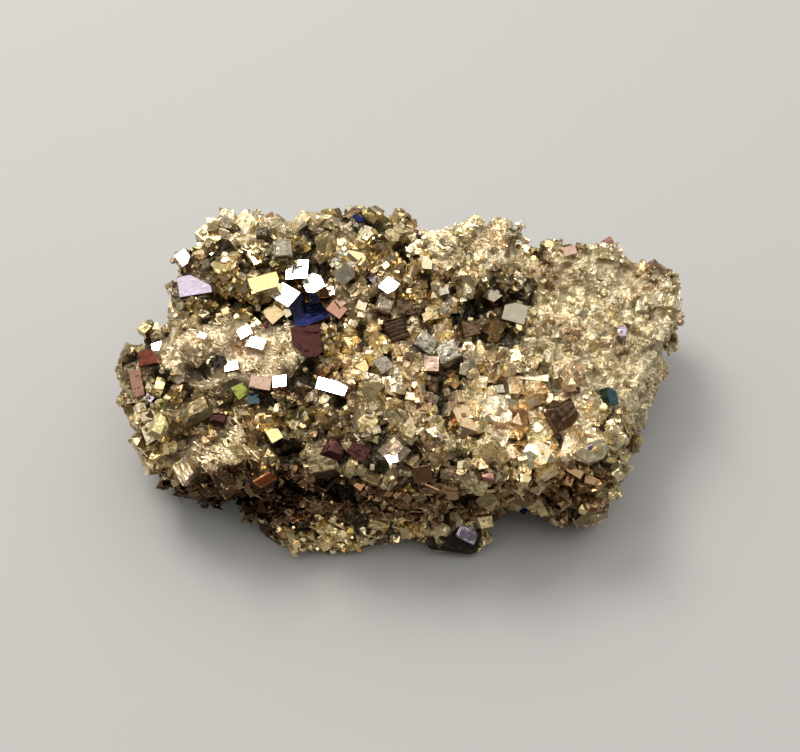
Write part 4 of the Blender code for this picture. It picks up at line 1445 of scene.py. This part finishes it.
@dataclass
class MassiveBody:
    """The broken, fine-grained metal that everything stands on.

    Attributes:
        grain: size of the mesh that carries the relief.
        chips: each octave of broken relief, as the size of its chips and how far it moves the surface.
        chip_tilt: how steep the chips lie.
        lump_size: the spacing of the rounded lumps.
        lump_rise: how far they rise.
        sink: how far the surface lies under the solid's.
        sink_under: how far it lies under the large crystals' faces.
        cleft_depth: how deep the clefts between its clusters are.
        hollow_depth: how deep the hollows are.
        brushed_clefts: how much shallower the clefts are in brushed metal.
        brushed_relief: how much of the chips is left there.
        brushed_facets: how much of the finest facets is left there.
        clearing: how far from a large crystal the relief sets in, and where it is whole.
        footing: how high above the floor the relief sets in, and where it is whole.
        streaks: how the growth lines are squeezed along and across the fibres.
        cleft_painted_shade: how much painted shade darkens the metal in a cleft.
        hollow_painted_shade: how much painted shade darkens it in a hollow.
        broken_dark: how much darker it is where it is broken.
        shades: its darkest and brightest points apart from that.
        duller: how much duller it is than the crystals around it.
        seed: the random numbers' seed.
    """

    grain: float = 0.46 * MM
    chips: tuple[tuple[float, float], ...] = ((2.1 * MM, 0.3 * MM), (1.0 * MM, 0.22 * MM))
    chip_tilt: float = 1.7
    lump_size: float = 1.8 * MM
    lump_rise: float = 0.7 * MM
    sink: float = 0.12 * MM
    sink_under: float = 0.5 * MM
    cleft_depth: float = 1.3 * MM
    hollow_depth: float = 2.0 * MM
    brushed_clefts: float = 0.75
    brushed_relief: float = 0.3
    brushed_facets: float = 0.35
    clearing: tuple[float, float] = (0.5 * MM, 1.2 * MM)
    footing: tuple[float, float] = (0.1 * MM, 0.8 * MM)
    streaks: tuple[float, float] = (0.6, 2.0)
    cleft_painted_shade: float = 0.8
    hollow_painted_shade: float = 0.85
    broken_dark: float = 0.4
    shades: tuple[float, float] = (0.8, 1.0)
    duller: float = 0.1
    seed: int = 5

    def build(self, large: LargeCrystals, finish: bpy.types.Material) -> bpy.types.Object:
        """Makes the body from the solid.

        Args:
            large: the crystals that stand on it.
            finish: its material.

        Returns:
            The piece, which stands for the solid.
        """
        mesh = self._skin()
        points = vectors(mesh.vertices, "co")
        traits = character(points)
        clefts = cleft(points) * (1.0 - self.brushed_clefts * traits[:, Trait.SMOOTH])
        ground = Ground(points, traits, clefts, hollow(points))
        moved = points + vectors(mesh.vertex_normals, "vector") * self._rise(ground, large)[:, None]
        moved[:, 2] = np.maximum(moved[:, 2], 0.0)
        mesh.vertices.foreach_set("co", moved.ravel())
        mesh.update()
        self._dress(mesh, ground)
        obj = piece("massive_body", mesh, finish)
        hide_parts(NODE)
        return obj

    def _rise(self, ground: Ground, large: LargeCrystals) -> np.ndarray:
        """How far each point moves along its normal.

        Args:
            ground: the points.
            large: the crystals that stand on it.

        Returns:
            One distance for each point.
        """
        points = ground.points
        broken = 1.0 - ground.traits[:, Trait.SMOOTH]
        relief = np.array([self.relief(Vector(point)) for point in points])
        relief *= self.brushed_relief + (1.0 - self.brushed_relief) * broken
        relief += ground.traits[:, Trait.LUMPY] * np.array([self.lump(Vector(point)) for point in points])
        free = ramp(large.nearest(points, tuple(Skin)), *self.clearing)
        rise = free * (relief - self.sink - self.cleft_depth * ground.clefts)
        rise -= (1.0 - free) * self.sink_under
        rise -= self.hollow_depth * ground.hollows
        return rise * ramp(points[:, 2], *self.footing)

    def _dress(self, mesh: bpy.types.Mesh, ground: Ground) -> None:
        """Gives each point its tint, polish and growth lines.

        Args:
            mesh: the body's mesh.
            ground: its points, from before they moved.
        """
        points, traits = ground.points, ground.traits
        smooth = traits[:, Trait.SMOOTH]
        light = np.random.default_rng(self.seed).uniform(*self.shades, len(points))
        # Painted shade: the metal is darkened in clefts and hollows, where shade falls.
        painted_shade = (1.0 - self.cleft_painted_shade * ground.clefts) * (1.0 - self.hollow_painted_shade * ground.hollows)
        light *= painted_shade * (1.0 - self.broken_dark * (1.0 - smooth))
        tints = with_tone_and_painted_light(mean_tints(traits[:, Trait.TINTS:]), light * traits[:, Trait.LIGHT])
        polish = np.clip(traits[:, Trait.POLISH] - self.duller, 0.0, 1.0)
        brushed = smooth * (1.0 - traits[:, Trait.LUMPY])
        growth = points + brushed[:, None] * (self._along_fibres(points) - points)
        facets = self.brushed_facets + (1.0 - self.brushed_facets) * (1.0 - smooth)
        colour(mesh, tints, polish, growth, facets)

    def _along_fibres(self, points: np.ndarray) -> np.ndarray:
        """Stretches points so that what follows them runs in streaks along the fibres.

        Args:
            points: an (n, 3) array.

        Returns:
            The stretched points.
        """
        turn = math.radians(FIBRE_TURN)
        along = points[:, 0] * math.cos(turn) + points[:, 1] * math.sin(turn)
        across = points[:, 1] * math.cos(turn) - points[:, 0] * math.sin(turn)
        return np.stack([self.streaks[0] * along, self.streaks[1] * across, points[:, 2]], axis=1)

    def _skin(self) -> bpy.types.Mesh:
        """Meshes the solid's surface afresh.

        Returns:
            A fine, even, closed mesh.
        """
        bm = bmesh.new()
        bm.from_mesh(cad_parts[NODE].data)
        bmesh.ops.remove_doubles(bm, verts=bm.verts, dist=WELD)
        mesh = bpy.data.meshes.new("skin")
        bm.to_mesh(mesh)
        bm.free()
        obj = bpy.data.objects.new("skin", mesh)
        bpy.context.scene.collection.objects.link(obj)
        remesh = obj.modifiers.new("grain", "REMESH")
        remesh.mode = "VOXEL"
        remesh.voxel_size = self.grain
        graph = bpy.context.evaluated_depsgraph_get()
        fine = bpy.data.meshes.new_from_object(obj.evaluated_get(graph))
        bpy.data.objects.remove(obj)
        bpy.data.meshes.remove(mesh)
        return fine

    def relief(self, point: Vector) -> float:
        """How far flat chips in a few sizes, each tilted its own way, move a point out.

        Args:
            point: the point.

        Returns:
            The distance.
        """
        total = 0.0
        for size, move in self.chips:
            at = point / size
            seed = noise.voronoi(at)[1][0]
            tilt = noise.cell_vector(seed * TILT_KEY) - Vector(HALF)
            total += move * (0.5 * noise.cell(seed * LEVEL_KEY) + self.chip_tilt * tilt.dot(at - seed))
        return total

    def lump(self, point: Vector) -> float:
        """How far rounded lumps raise a point."""
        nearest = noise.voronoi(bent(point / self.lump_size, *LUMP_BEND))[0][0]
        return self.lump_rise * (1.0 - min(1.0, LUMP_FALL * nearest) ** 2 - 0.5)


# ---- The crust ----


NO_LENGTH, NO_AREA = 1e-6, 1e-18  # what stands for 0 in a division
NEAR_LAYER = 1.2  # how far around a point crystals of earlier layers count, against the largest of them
FAR = 1.0  # further off than anything on the lump
BATCH = 4000  # points that are compared with every cluster at once
DEEPEST_HOLLOW = 0.3  # no crystal stands deeper in a hollow than this, where its floor is 1
POLISH_SPREAD = 0.22


def random_turns(count: int, rng: np.random.Generator, most: float | None = None) -> np.ndarray:
    """Random rotations.

    Args:
        count: how many.
        rng: the random numbers.
        most: the spread of their angles in radians, or None for any rotation.

    Returns:
        An (n, 3, 3) array.
    """
    quaternion = rng.normal(size=(count, 4))
    if most is not None:
        quaternion = quaternion * most / 2.0
        quaternion[:, 0] = 1.0
    w, x, y, z = (quaternion / np.linalg.norm(quaternion, axis=1, keepdims=True)).T
    return np.stack(
        [
            1 - 2 * (y * y + z * z), 2 * (x * y - w * z), 2 * (x * z + w * y),
            2 * (x * y + w * z), 1 - 2 * (x * x + z * z), 2 * (y * z - w * x),
            2 * (x * z - w * y), 2 * (y * z + w * x), 1 - 2 * (x * x + y * y),
        ],
        axis=1,
    ).reshape(-1, 3, 3)


def lying_turns(normals: np.ndarray, along: float, spread: float, rng: np.random.Generator) -> np.ndarray:
    """Turns that lay crystals flat, lengthwise in about one direction.

    Args:
        normals: the surface's normals, an (n, 3) array.
        along: the direction along X and Y, in degrees.
        spread: the spread of their turns about it, in radians.
        rng: the random numbers.

    Returns:
        An (n, 3, 3) array.
    """
    angle = math.radians(along) + rng.normal(0.0, spread, len(normals))
    wanted = np.stack([np.cos(angle), np.sin(angle), np.zeros(len(normals))], axis=1)
    across = np.cross(normals, wanted)
    across /= np.maximum(np.linalg.norm(across, axis=1, keepdims=True), NO_LENGTH)
    return np.stack([np.cross(across, normals), across, normals], axis=2)


@dataclass
class Surface:
    """A surface to set crystals on, as triangles.

    Attributes:
        corners: their corners, an (n, 3, 3) array.
        normals: their normals, an (n, 3) array.
        areas: their areas.
    """

    corners: np.ndarray
    normals: np.ndarray
    areas: np.ndarray

    @classmethod
    def of(cls, mesh: bpy.types.Mesh) -> "Surface":
        """Reads a mesh's triangles.

        Args:
            mesh: the mesh.

        Returns:
            Its surface.
        """
        mesh.calc_loop_triangles()
        index = np.empty(len(mesh.loop_triangles) * 3, dtype=np.int32)
        mesh.loop_triangles.foreach_get("vertices", index)
        corners = vectors(mesh.vertices, "co")[index.reshape(-1, 3)]
        across = np.cross(corners[:, 1] - corners[:, 0], corners[:, 2] - corners[:, 0])
        areas = np.linalg.norm(across, axis=1) / 2.0
        return cls(corners, across / np.maximum(2.0 * areas, NO_AREA)[:, None], areas)

    def plus(self, other: "Surface") -> "Surface":
        """This surface and another one together."""
        both = ((self.corners, other.corners), (self.normals, other.normals), (self.areas, other.areas))
        return Surface(*(np.concatenate(pair) for pair in both))

    def samples(
        self, count: int, rng: np.random.Generator, cover: np.ndarray | float = 1.0
    ) -> tuple[np.ndarray, np.ndarray]:
        """Random points of the surface, spread evenly by area where the cover is the same.

        Args:
            count: how many there would be if all of the surface were covered.
            rng: the random numbers.
            cover: how much of each triangle is covered.

        Returns:
            The points and the normals there, both (n, 3) arrays.
        """
        weights = self.areas * cover
        count = int(count * weights.sum() / self.areas.sum())
        chosen = rng.choice(len(self.areas), count, p=weights / weights.sum())
        u, v = rng.random((2, count, 1))
        over = u + v > 1.0
        u, v = np.where(over, 1.0 - u, u), np.where(over, 1.0 - v, v)
        first, second, third = (self.corners[chosen, corner] for corner in range(3))
        return first + (second - first) * u + (third - first) * v, self.normals[chosen]


@dataclass(frozen=True)
class Layer:
    """One size of crystals in the crust.

    Attributes:
        name: the piece's name.
        edges: the smallest and largest edge at a place where size is 1.
        skew: above 1, most of them are near the smallest.
        tries: how many places would be tried if all of the surface were covered.
        gap: the least distance between two of them, against their mean edge.
        proud: the lowest and highest share of the edge by which their middles stand out of the surface.
        whole: the forms of the whole ones, each with its share.
        broken: the forms of the broken ones, each with its share.
        bladed: the forms of the blades, each with its share.
        cover: the trait that says how much of a patch this layer covers.
        stretch: the smallest and largest second and third edge, against the first.
        lying: the direction along X and Y in which they lie flat on the surface, in degrees, if they do.
        matte: whether they have the finish of the massive metal.
        rare: the share with a strong tarnish.
        bare: how far outside one of them the middle of a later, smaller one is, as a share of its edge.
        follow: how far crystals of one cluster differ in turn, in radians.
        loose: the share that follow no cluster.
    """

    name: str
    edges: tuple[float, float]
    skew: float
    tries: int
    gap: float
    proud: tuple[float, float]
    whole: tuple[tuple[Habit, float], ...]
    broken: tuple[tuple[Habit, float], ...]
    cover: Trait
    bladed: tuple[tuple[Habit, float], ...] = ((Habit.BLADE, 1.0),)
    stretch: tuple[tuple[float, float], tuple[float, float]] = ((0.7, 1.1), (0.7, 1.1))
    lying: float | None = None
    matte: bool = False
    rare: float = 0.01
    bare: float = 0.18
    follow: float = 0.25
    loose: float = 0.5


CHIPS = ((Habit.CHIP, 0.45), (Habit.TRUNCATED, 0.2), (Habit.PYRITOHEDRON, 0.15), (Habit.NICKED, 0.2))
CUBES = ((Habit.WORN, 0.35), (Habit.STEPPED, 0.2), (Habit.NICKED, 0.25), (Habit.TWIN, 0.2))
LAYERS = (
    Layer(
        "crust_masses", (1.5 * MM, 3.4 * MM), 1.6, 12000, 0.62, (-0.46, -0.14), cover=Trait.MASSES,
        whole=((Habit.CHIP, 0.4), (Habit.NICKED, 0.3), (Habit.TRUNCATED, 0.3)), broken=CHIPS, rare=0.0,
        bare=-0.35,
    ),
    Layer(
        "crust_cubes", (1.3 * MM, 2.8 * MM), 2.2, 6000, 0.85, (-0.38, -0.05), cover=Trait.CUBES, loose=0.3,
        whole=CUBES, broken=CHIPS, rare=0.02,
    ),
    Layer(
        "crust_small", (0.65 * MM, 1.6 * MM), 1.4, 46000, 0.62, (-0.4, 0.02), cover=Trait.SMALL, loose=0.4,
        rare=0.004, whole=((Habit.CUBE, 0.5), (Habit.NICKED, 0.3), (Habit.TWIN, 0.2)), broken=CHIPS,
    ),
    Layer(
        "crust_grains", (0.35 * MM, 0.8 * MM), 1.3, 60000, 0.7, (-0.25, 0.15), cover=Trait.GRAINS, rare=0.0,
        whole=((Habit.CUBE, 1.0),), broken=((Habit.CUBE, 0.5), (Habit.CHIP, 0.5)),
        bladed=((Habit.SLIVER, 1.0),),
    ),
    Layer(
        "knobs", (0.5 * MM, 1.3 * MM), 1.4, 60000, 0.95, (-0.45, -0.15), cover=Trait.LUMPY, matte=True,
        rare=0.0, whole=((Habit.TRUNCATED, 1.0),), broken=CHIPS, bladed=CHIPS,
    ),
    Layer(
        "fibres", (1.0 * MM, 3.6 * MM), 1.5, 800000, 0.14, (-0.01, 0.03), cover=Trait.FIBRES, rare=0.0,
        whole=((Habit.SLIVER, 1.0),), broken=((Habit.SLIVER, 1.0),), bladed=((Habit.SLIVER, 1.0),),
        stretch=((0.14, 0.3), (0.08, 0.16)), lying=FIBRE_TURN, matte=True, follow=0.3,
    ),
)


@dataclass
class Crust:
    """The small crystals and grains all over the body.

    Attributes:
        layers: its sizes of crystals.
        clusters: how many groups of crystals share a turn.
        clear_of_floor: how far above the floor every crystal stays.
        inside: how far outside the solid's box a crystal may reach.
        clear_of_crystals: how far from a large crystal the foot of a small one is.
        clear_of_faces: how far a crystal's middle is outside a large one, as a share of its edge.
        over_faces: the share of its edge that no crystal reaches over a large crystal's clean face.
        sunk_painted_shade: how much painted shade darkens the deepest crystals of a layer against its
            proudest.
        seed: the random numbers' seed.
    """

    layers: tuple[Layer, ...] = LAYERS
    clusters: int = 260
    clear_of_floor: float = 0.1 * MM
    inside: float = 0.3 * MM
    clear_of_crystals: float = 0.12 * MM
    clear_of_faces: float = 0.18
    over_faces: float = 0.78
    sunk_painted_shade: float = 0.36
    seed: int = 29

    def build(
        self,
        large: LargeCrystals,
        grown: bpy.types.Material,
        massive: bpy.types.Material,
    ) -> list[bpy.types.Object]:
        """Sets the crystals, layer by layer.

        Args:
            large: the crystals that they leave room for.
            grown: the finish of the grown ones.
            massive: the finish of the matte ones.

        Returns:
            One piece for each layer.
        """
        rng = np.random.default_rng(self.seed)
        surface = Surface.of(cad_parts[NODE].data)
        centres, _ = surface.samples(self.clusters, rng)
        turns = random_turns(self.clusters, rng)
        shapes = {habit: habit.shape() for habit in Habit}
        pieces = []
        standing: list[tuple[Crystals, float]] = []
        for layer in self.layers:
            groups = self._layer(layer, surface, large, (centres, turns), shapes, standing, rng)
            pieces.append(joined(layer.name, groups, massive if layer.matte else grown))
            if layer.bare < 0.0:
                surface = surface.plus(Surface.of(pieces[-1].data))
        return pieces

    def _layer(
        self,
        layer: Layer,
        surface: Surface,
        large: LargeCrystals,
        clusters: tuple[np.ndarray, np.ndarray],
        shapes: dict[Habit, Shape],
        standing: list[tuple[Crystals, float]],
        rng: np.random.Generator,
    ) -> list[tuple[Shape, Crystals]]:
        """Sets one layer.

        Args:
            layer: its sizes.
            surface: what it stands on.
            large: the crystals that it leaves room for.
            clusters: the middles and the turns of the groups.
            shapes: the shape of each habit.
            standing: the layers before it, each with its bare value, to which it is added.
            rng: the random numbers.

        Returns:
            Each shape with its crystals.
        """
        cover = character(surface.corners.mean(axis=1))[:, layer.cover]
        points, normals = surface.samples(layer.tries, rng, cover)
        count = len(points)
        traits = character(points)
        smallest, largest = layer.edges
        edge = smallest + (largest - smallest) * rng.random(count) ** layer.skew
        edge = edge * traits[:, Trait.SIZE]
        low, high = layer.proud
        share = rng.uniform(low, high, count)
        centres = points + normals * (edge * share)[:, None]
        turns = self._turns(layer, points, clusters, rng)
        if layer.lying is not None:
            turns = lying_turns(normals, layer.lying, layer.follow, rng)
        stretch = np.stack([np.ones(count), *(rng.uniform(*span, count) for span in layer.stretch)], axis=1)
        tints = drawn_tints(traits[:, Trait.TINTS:], rng, layer.rare)
        # Painted shade: the deeper a crystal's middle sinks into the surface, the darker its colour, as if
        # shaded by its neighbours.
        light = traits[:, Trait.LIGHT] * (1.0 - self.sunk_painted_shade * (high - share) / (high - low))
        polish = np.clip(traits[:, Trait.POLISH] + rng.normal(0.0, POLISH_SPREAD, count), 0.0, 1.0)
        crystals = Crystals(centres, turns, edge[:, None] * stretch, with_tone_and_painted_light(tints, light), polish)
        forms = self._forms(layer, traits, rng)
        spans = np.array([2.0 * np.abs(shape.points).max(axis=0) for shape in shapes.values()])
        keep = self._clear(points, centres, edge, large) & (rng.random(count) > cleft(points))
        keep &= self._in_bounds(crystals, spans[forms]) & (hollow(points) < DEEPEST_HOLLOW)
        keep[keep] = spread(centres[keep], edge[keep] * layer.gap)
        for others, bare in standing:
            keep[keep] = outside(centres[keep], others) > bare * edge[keep]
        standing.append((crystals.only(keep), layer.bare))
        return [(shape, crystals.only(keep & (forms == form))) for form, shape in enumerate(shapes.values())]

    def _forms(self, layer: Layer, traits: np.ndarray, rng: np.random.Generator) -> np.ndarray:
        """Draws a habit for each crystal.

        Args:
            layer: the layer, which says how common the habits are.
            traits: the crystals' character.
            rng: the random numbers.

        Returns:
            The habits' numbers, in the order in which Habit lists them.
        """
        count = len(traits)
        bladed = rng.random(count) < traits[:, Trait.BLADED]
        whole = rng.random(count) < traits[:, Trait.CUBIC]
        kinds = ((bladed, layer.bladed), (~bladed & whole, layer.whole), (~bladed & ~whole, layer.broken))
        forms = np.zeros(count, dtype=int)
        for mask, habits in kinds:
            numbers = [list(Habit).index(habit) for habit, _ in habits]
            forms[mask] = rng.choice(numbers, mask.sum(), p=[share for _, share in habits])
        return forms

    def _clear(
        self, points: np.ndarray, centres: np.ndarray, edge: np.ndarray, large: LargeCrystals
    ) -> np.ndarray:
        """Which crystals leave the large ones free.

        Args:
            points: their feet, an (n, 3) array.
            centres: their middles, an (n, 3) array.
            edge: their sizes.
            large: the large crystals.

        Returns:
            A mask.
        """
        clean = tuple(skin for skin in Skin if skin is not Skin.GRANULAR)
        keep = large.nearest(centres, clean) > self.clear_of_faces * edge
        keep &= large.nearest(points, clean) > self.clear_of_crystals
        return keep & ~large.covered(centres, self.over_faces * edge)

    def _turns(
        self,
        layer: Layer,
        points: np.ndarray,
        clusters: tuple[np.ndarray, np.ndarray],
        rng: np.random.Generator,
    ) -> np.ndarray:
        """A turn for each crystal: near its cluster's, or any at all.

        Args:
            layer: the layer.
            points: where the crystals are.
            clusters: the middles and the turns of the groups.
            rng: the random numbers.

        Returns:
            An (n, 3, 3) array.
        """
        middles, shared = clusters
        batches = np.array_split(points, 1 + len(points) // BATCH)
        far = (((batch[:, None] - middles[None]) ** 2).sum(axis=2) for batch in batches)
        nearest = np.concatenate([np.argmin(batch, axis=1) for batch in far])
        turned = np.einsum("nij,njk->nik", random_turns(len(points), rng, layer.follow), shared[nearest])
        free = random_turns(len(points), rng)
        loose = rng.random(len(points)) < layer.loose
        return np.where(loose[:, None, None], free, turned)

    def _in_bounds(self, crystals: Crystals, spans: np.ndarray) -> np.ndarray:
        """Which crystals clear the floor and stay in the solid's box.

        Args:
            crystals: the crystals.
            spans: the sizes of their shapes along their own axes, against their edges.

        Returns:
            A mask.
        """
        reach = np.abs(crystals.turns * (crystals.edges * spans)[:, None, :]).sum(axis=2) / 2.0
        low, high = (np.array(corner) for corner in cad_box)
        above = (crystals.centres - reach)[:, 2] > self.clear_of_floor
        inside = (crystals.centres - reach > low - self.inside).all(axis=1)
        return above & inside & (crystals.centres + reach < high + self.inside).all(axis=1)


def outside(points: np.ndarray, crystals: Crystals) -> np.ndarray:
    """How far each point is outside the nearest crystal.

    Args:
        points: an (n, 3) array.
        crystals: the crystals.

    Returns:
        One distance for each point, negative inside a crystal.
    """
    nearest = np.full(len(points), FAR)
    tree = kdtree.KDTree(len(crystals.centres))
    for index, centre in enumerate(crystals.centres.tolist()):
        tree.insert(centre, index)
    tree.balance()
    reach = crystals.edges.max() * NEAR_LAYER
    near = [[found[1] for found in tree.find_range(point, reach)] for point in points.tolist()]
    first = np.repeat(np.arange(len(points)), [len(found) for found in near])
    second = np.array([index for found in near for index in found], dtype=int)
    offset = points[first] - crystals.centres[second]
    own = np.einsum("ni,nij->nj", offset, crystals.turns[second])
    far = (np.abs(own) - crystals.edges[second] / 2.0).max(axis=1)
    np.minimum.at(nearest, first, far)
    return nearest


def spread(points: np.ndarray, gaps: np.ndarray) -> np.ndarray:
    """Thins points out so that none is too near an earlier one.

    Args:
        points: an (n, 3) array.
        gaps: how much room each of them needs.

    Returns:
        A mask of those that stay.
    """
    keep = np.zeros(len(points), dtype=bool)
    taken: dict[tuple[int, int, int], list[int]] = {}
    cells = np.floor(points / gaps.max()).astype(int).tolist()
    rows, room = points.tolist(), gaps.tolist()
    around = [(i, j, k) for i in (-1, 0, 1) for j in (-1, 0, 1) for k in (-1, 0, 1)]
    for index, (x, y, z) in enumerate(cells):
        nearby = [other for i, j, k in around for other in taken.get((x + i, y + j, z + k), ())]
        if all(math.dist(rows[index], rows[other]) >= (room[index] + room[other]) / 2.0 for other in nearby):
            keep[index] = True
            taken.setdefault((x, y, z), []).append(index)
    return keep


# ---- Floor, light and camera ----


@dataclass(frozen=True)
class Softbox:
    """An area light aimed at the specimen.

    Attributes:
        name: its name.
        towards: the direction in which it stands, from the specimen.
        distance: how far off it stands.
        size: its edge.
        power: its power in watts.
        colour: its colour.
    """

    name: str
    towards: tuple[float, float, float]
    distance: float
    size: float
    power: float
    colour: tuple[float, float, float] = (1.0, 1.0, 1.0)

    def build(self, target: Vector) -> bpy.types.Object:
        """Makes the light.

        Args:
            target: what it is aimed at.

        Returns:
            The light.
        """
        light = bpy.data.lights.new(self.name, "AREA")
        light.shape = "SQUARE"
        light.size = self.size
        light.energy = self.power
        light.color = self.colour
        obj = bpy.data.objects.new(self.name, light)
        bpy.context.scene.collection.objects.link(obj)
        away = Vector(self.towards).normalized()
        obj.location = target + away * self.distance
        obj.rotation_euler = away.to_track_quat("Z", "Y").to_euler()
        return obj


@dataclass
class Studio:
    """A pale floor, soft lights and the camera.

    Attributes:
        target: what the camera looks at.
        elevation: the camera's height angle in degrees.
        distance: how far off it stands.
        lens: its focal length in millimetres.
        sensor: the width of its sensor in millimetres.
        clip: how near to it things are still seen.
        floor_colour: the floor's colour.
        floor_reach: how far the floor goes from its middle.
        floor_rough: the floor's roughness.
        floor_gloss: how much it mirrors.
        sky_colour: the colour of the surroundings.
        sky: their brightness.
        lights: the softboxes.
    """

    target: Vector = field(default_factory=lambda: Vector((0.0, 0.0, 15.5 * MM)) - DRAWN_MIDDLE)
    elevation: float = 60.0
    distance: float = 200.0 * MM
    lens: float = 60.0
    sensor: float = 36.0
    clip: float = 5.0 * MM
    floor_colour: tuple[float, float, float] = (0.42, 0.415, 0.41)
    floor_reach: float = 3.0
    floor_rough: float = 0.85
    floor_gloss: float = 0.2
    sky_colour: tuple[float, float, float] = (1.0, 0.97, 0.92)
    sky: float = 0.2
    lights: tuple[Softbox, ...] = (
        Softbox("key", (-0.338, 0.45, 0.826), 0.6, 0.22, 2.15, (1.0, 0.97, 0.9)),
        Softbox("overhead", (0.05, 0.35, 0.94), 0.9, 1.5, 11.2, (1.0, 0.98, 0.94)),
        Softbox("left", (-0.95, 0.15, 0.4), 0.9, 0.9, 2.4, (1.0, 0.98, 0.95)),
        Softbox("right", (0.9, 0.1, 0.45), 0.9, 0.7, 1.0, (0.97, 0.98, 1.0)),
    )

    def build(self) -> None:
        """Makes the floor, the surroundings, the lights and the camera."""
        self._floor()
        world = bpy.data.worlds.new("surroundings")
        world.use_nodes = True
        background = world.node_tree.nodes["Background"]
        background.inputs["Color"].default_value = (*self.sky_colour, 1.0)
        background.inputs["Strength"].default_value = self.sky
        bpy.context.scene.world = world
        for light in self.lights:
            light.build(self.target)
        self._camera()

    def _camera(self) -> None:
        """A camera in front of the specimen, which looks down at it."""
        camera = bpy.data.cameras.new("camera")
        camera.lens = self.lens
        camera.sensor_width = self.sensor
        camera.clip_start = self.clip
        obj = bpy.data.objects.new("camera", camera)
        bpy.context.scene.collection.objects.link(obj)
        rise = math.radians(self.elevation)
        obj.location = self.target + Vector((0.0, -math.cos(rise), math.sin(rise))) * self.distance
        obj.rotation_euler = (math.pi / 2.0 - rise, 0.0, 0.0)
        bpy.context.scene.camera = obj
        bpy.context.scene.view_settings.view_transform = "Standard"

    def _floor(self) -> None:
        """A plain pale floor under the specimen."""
        bm = bmesh.new()
        bmesh.ops.create_grid(bm, x_segments=1, y_segments=1, size=self.floor_reach)
        mesh = bpy.data.meshes.new("floor")
        bm.to_mesh(mesh)
        bm.free()
        floor = bpy.data.objects.new("floor", mesh)
        bpy.context.scene.collection.objects.link(floor)
        material = bpy.data.materials.new("floor")
        material.use_nodes = True
        shader = material.node_tree.nodes["Principled BSDF"]
        shader.inputs["Base Color"].default_value = (*self.floor_colour, 1.0)
        shader.inputs["Roughness"].default_value = self.floor_rough
        shader.inputs["Specular IOR Level"].default_value = self.floor_gloss
        mesh.materials.append(material)


def main() -> None:
    """Builds the specimen piece by piece, then its studio."""
    noise.seed_set(NOISE_SEED)
    massive = PyriteFinish(
        "massive_pyrite", smooth=0.22, rough=0.55, facet=0.36 * MM, tilt=0.55, growth=0.2 * MM, scatter=0.35
    ).material()
    grown = PyriteFinish("grown_pyrite").material()
    large = LargeCrystals()
    pieces = [large.build(grown), MassiveBody().build(large, massive), *Crust().build(large, grown, massive)]
    for obj in pieces:
        LOG.info("%s rides on %s", obj.name, BODY)
    Studio().build()


if __name__ == "__main__":
    logging.basicConfig(level=logging.INFO)
    main()
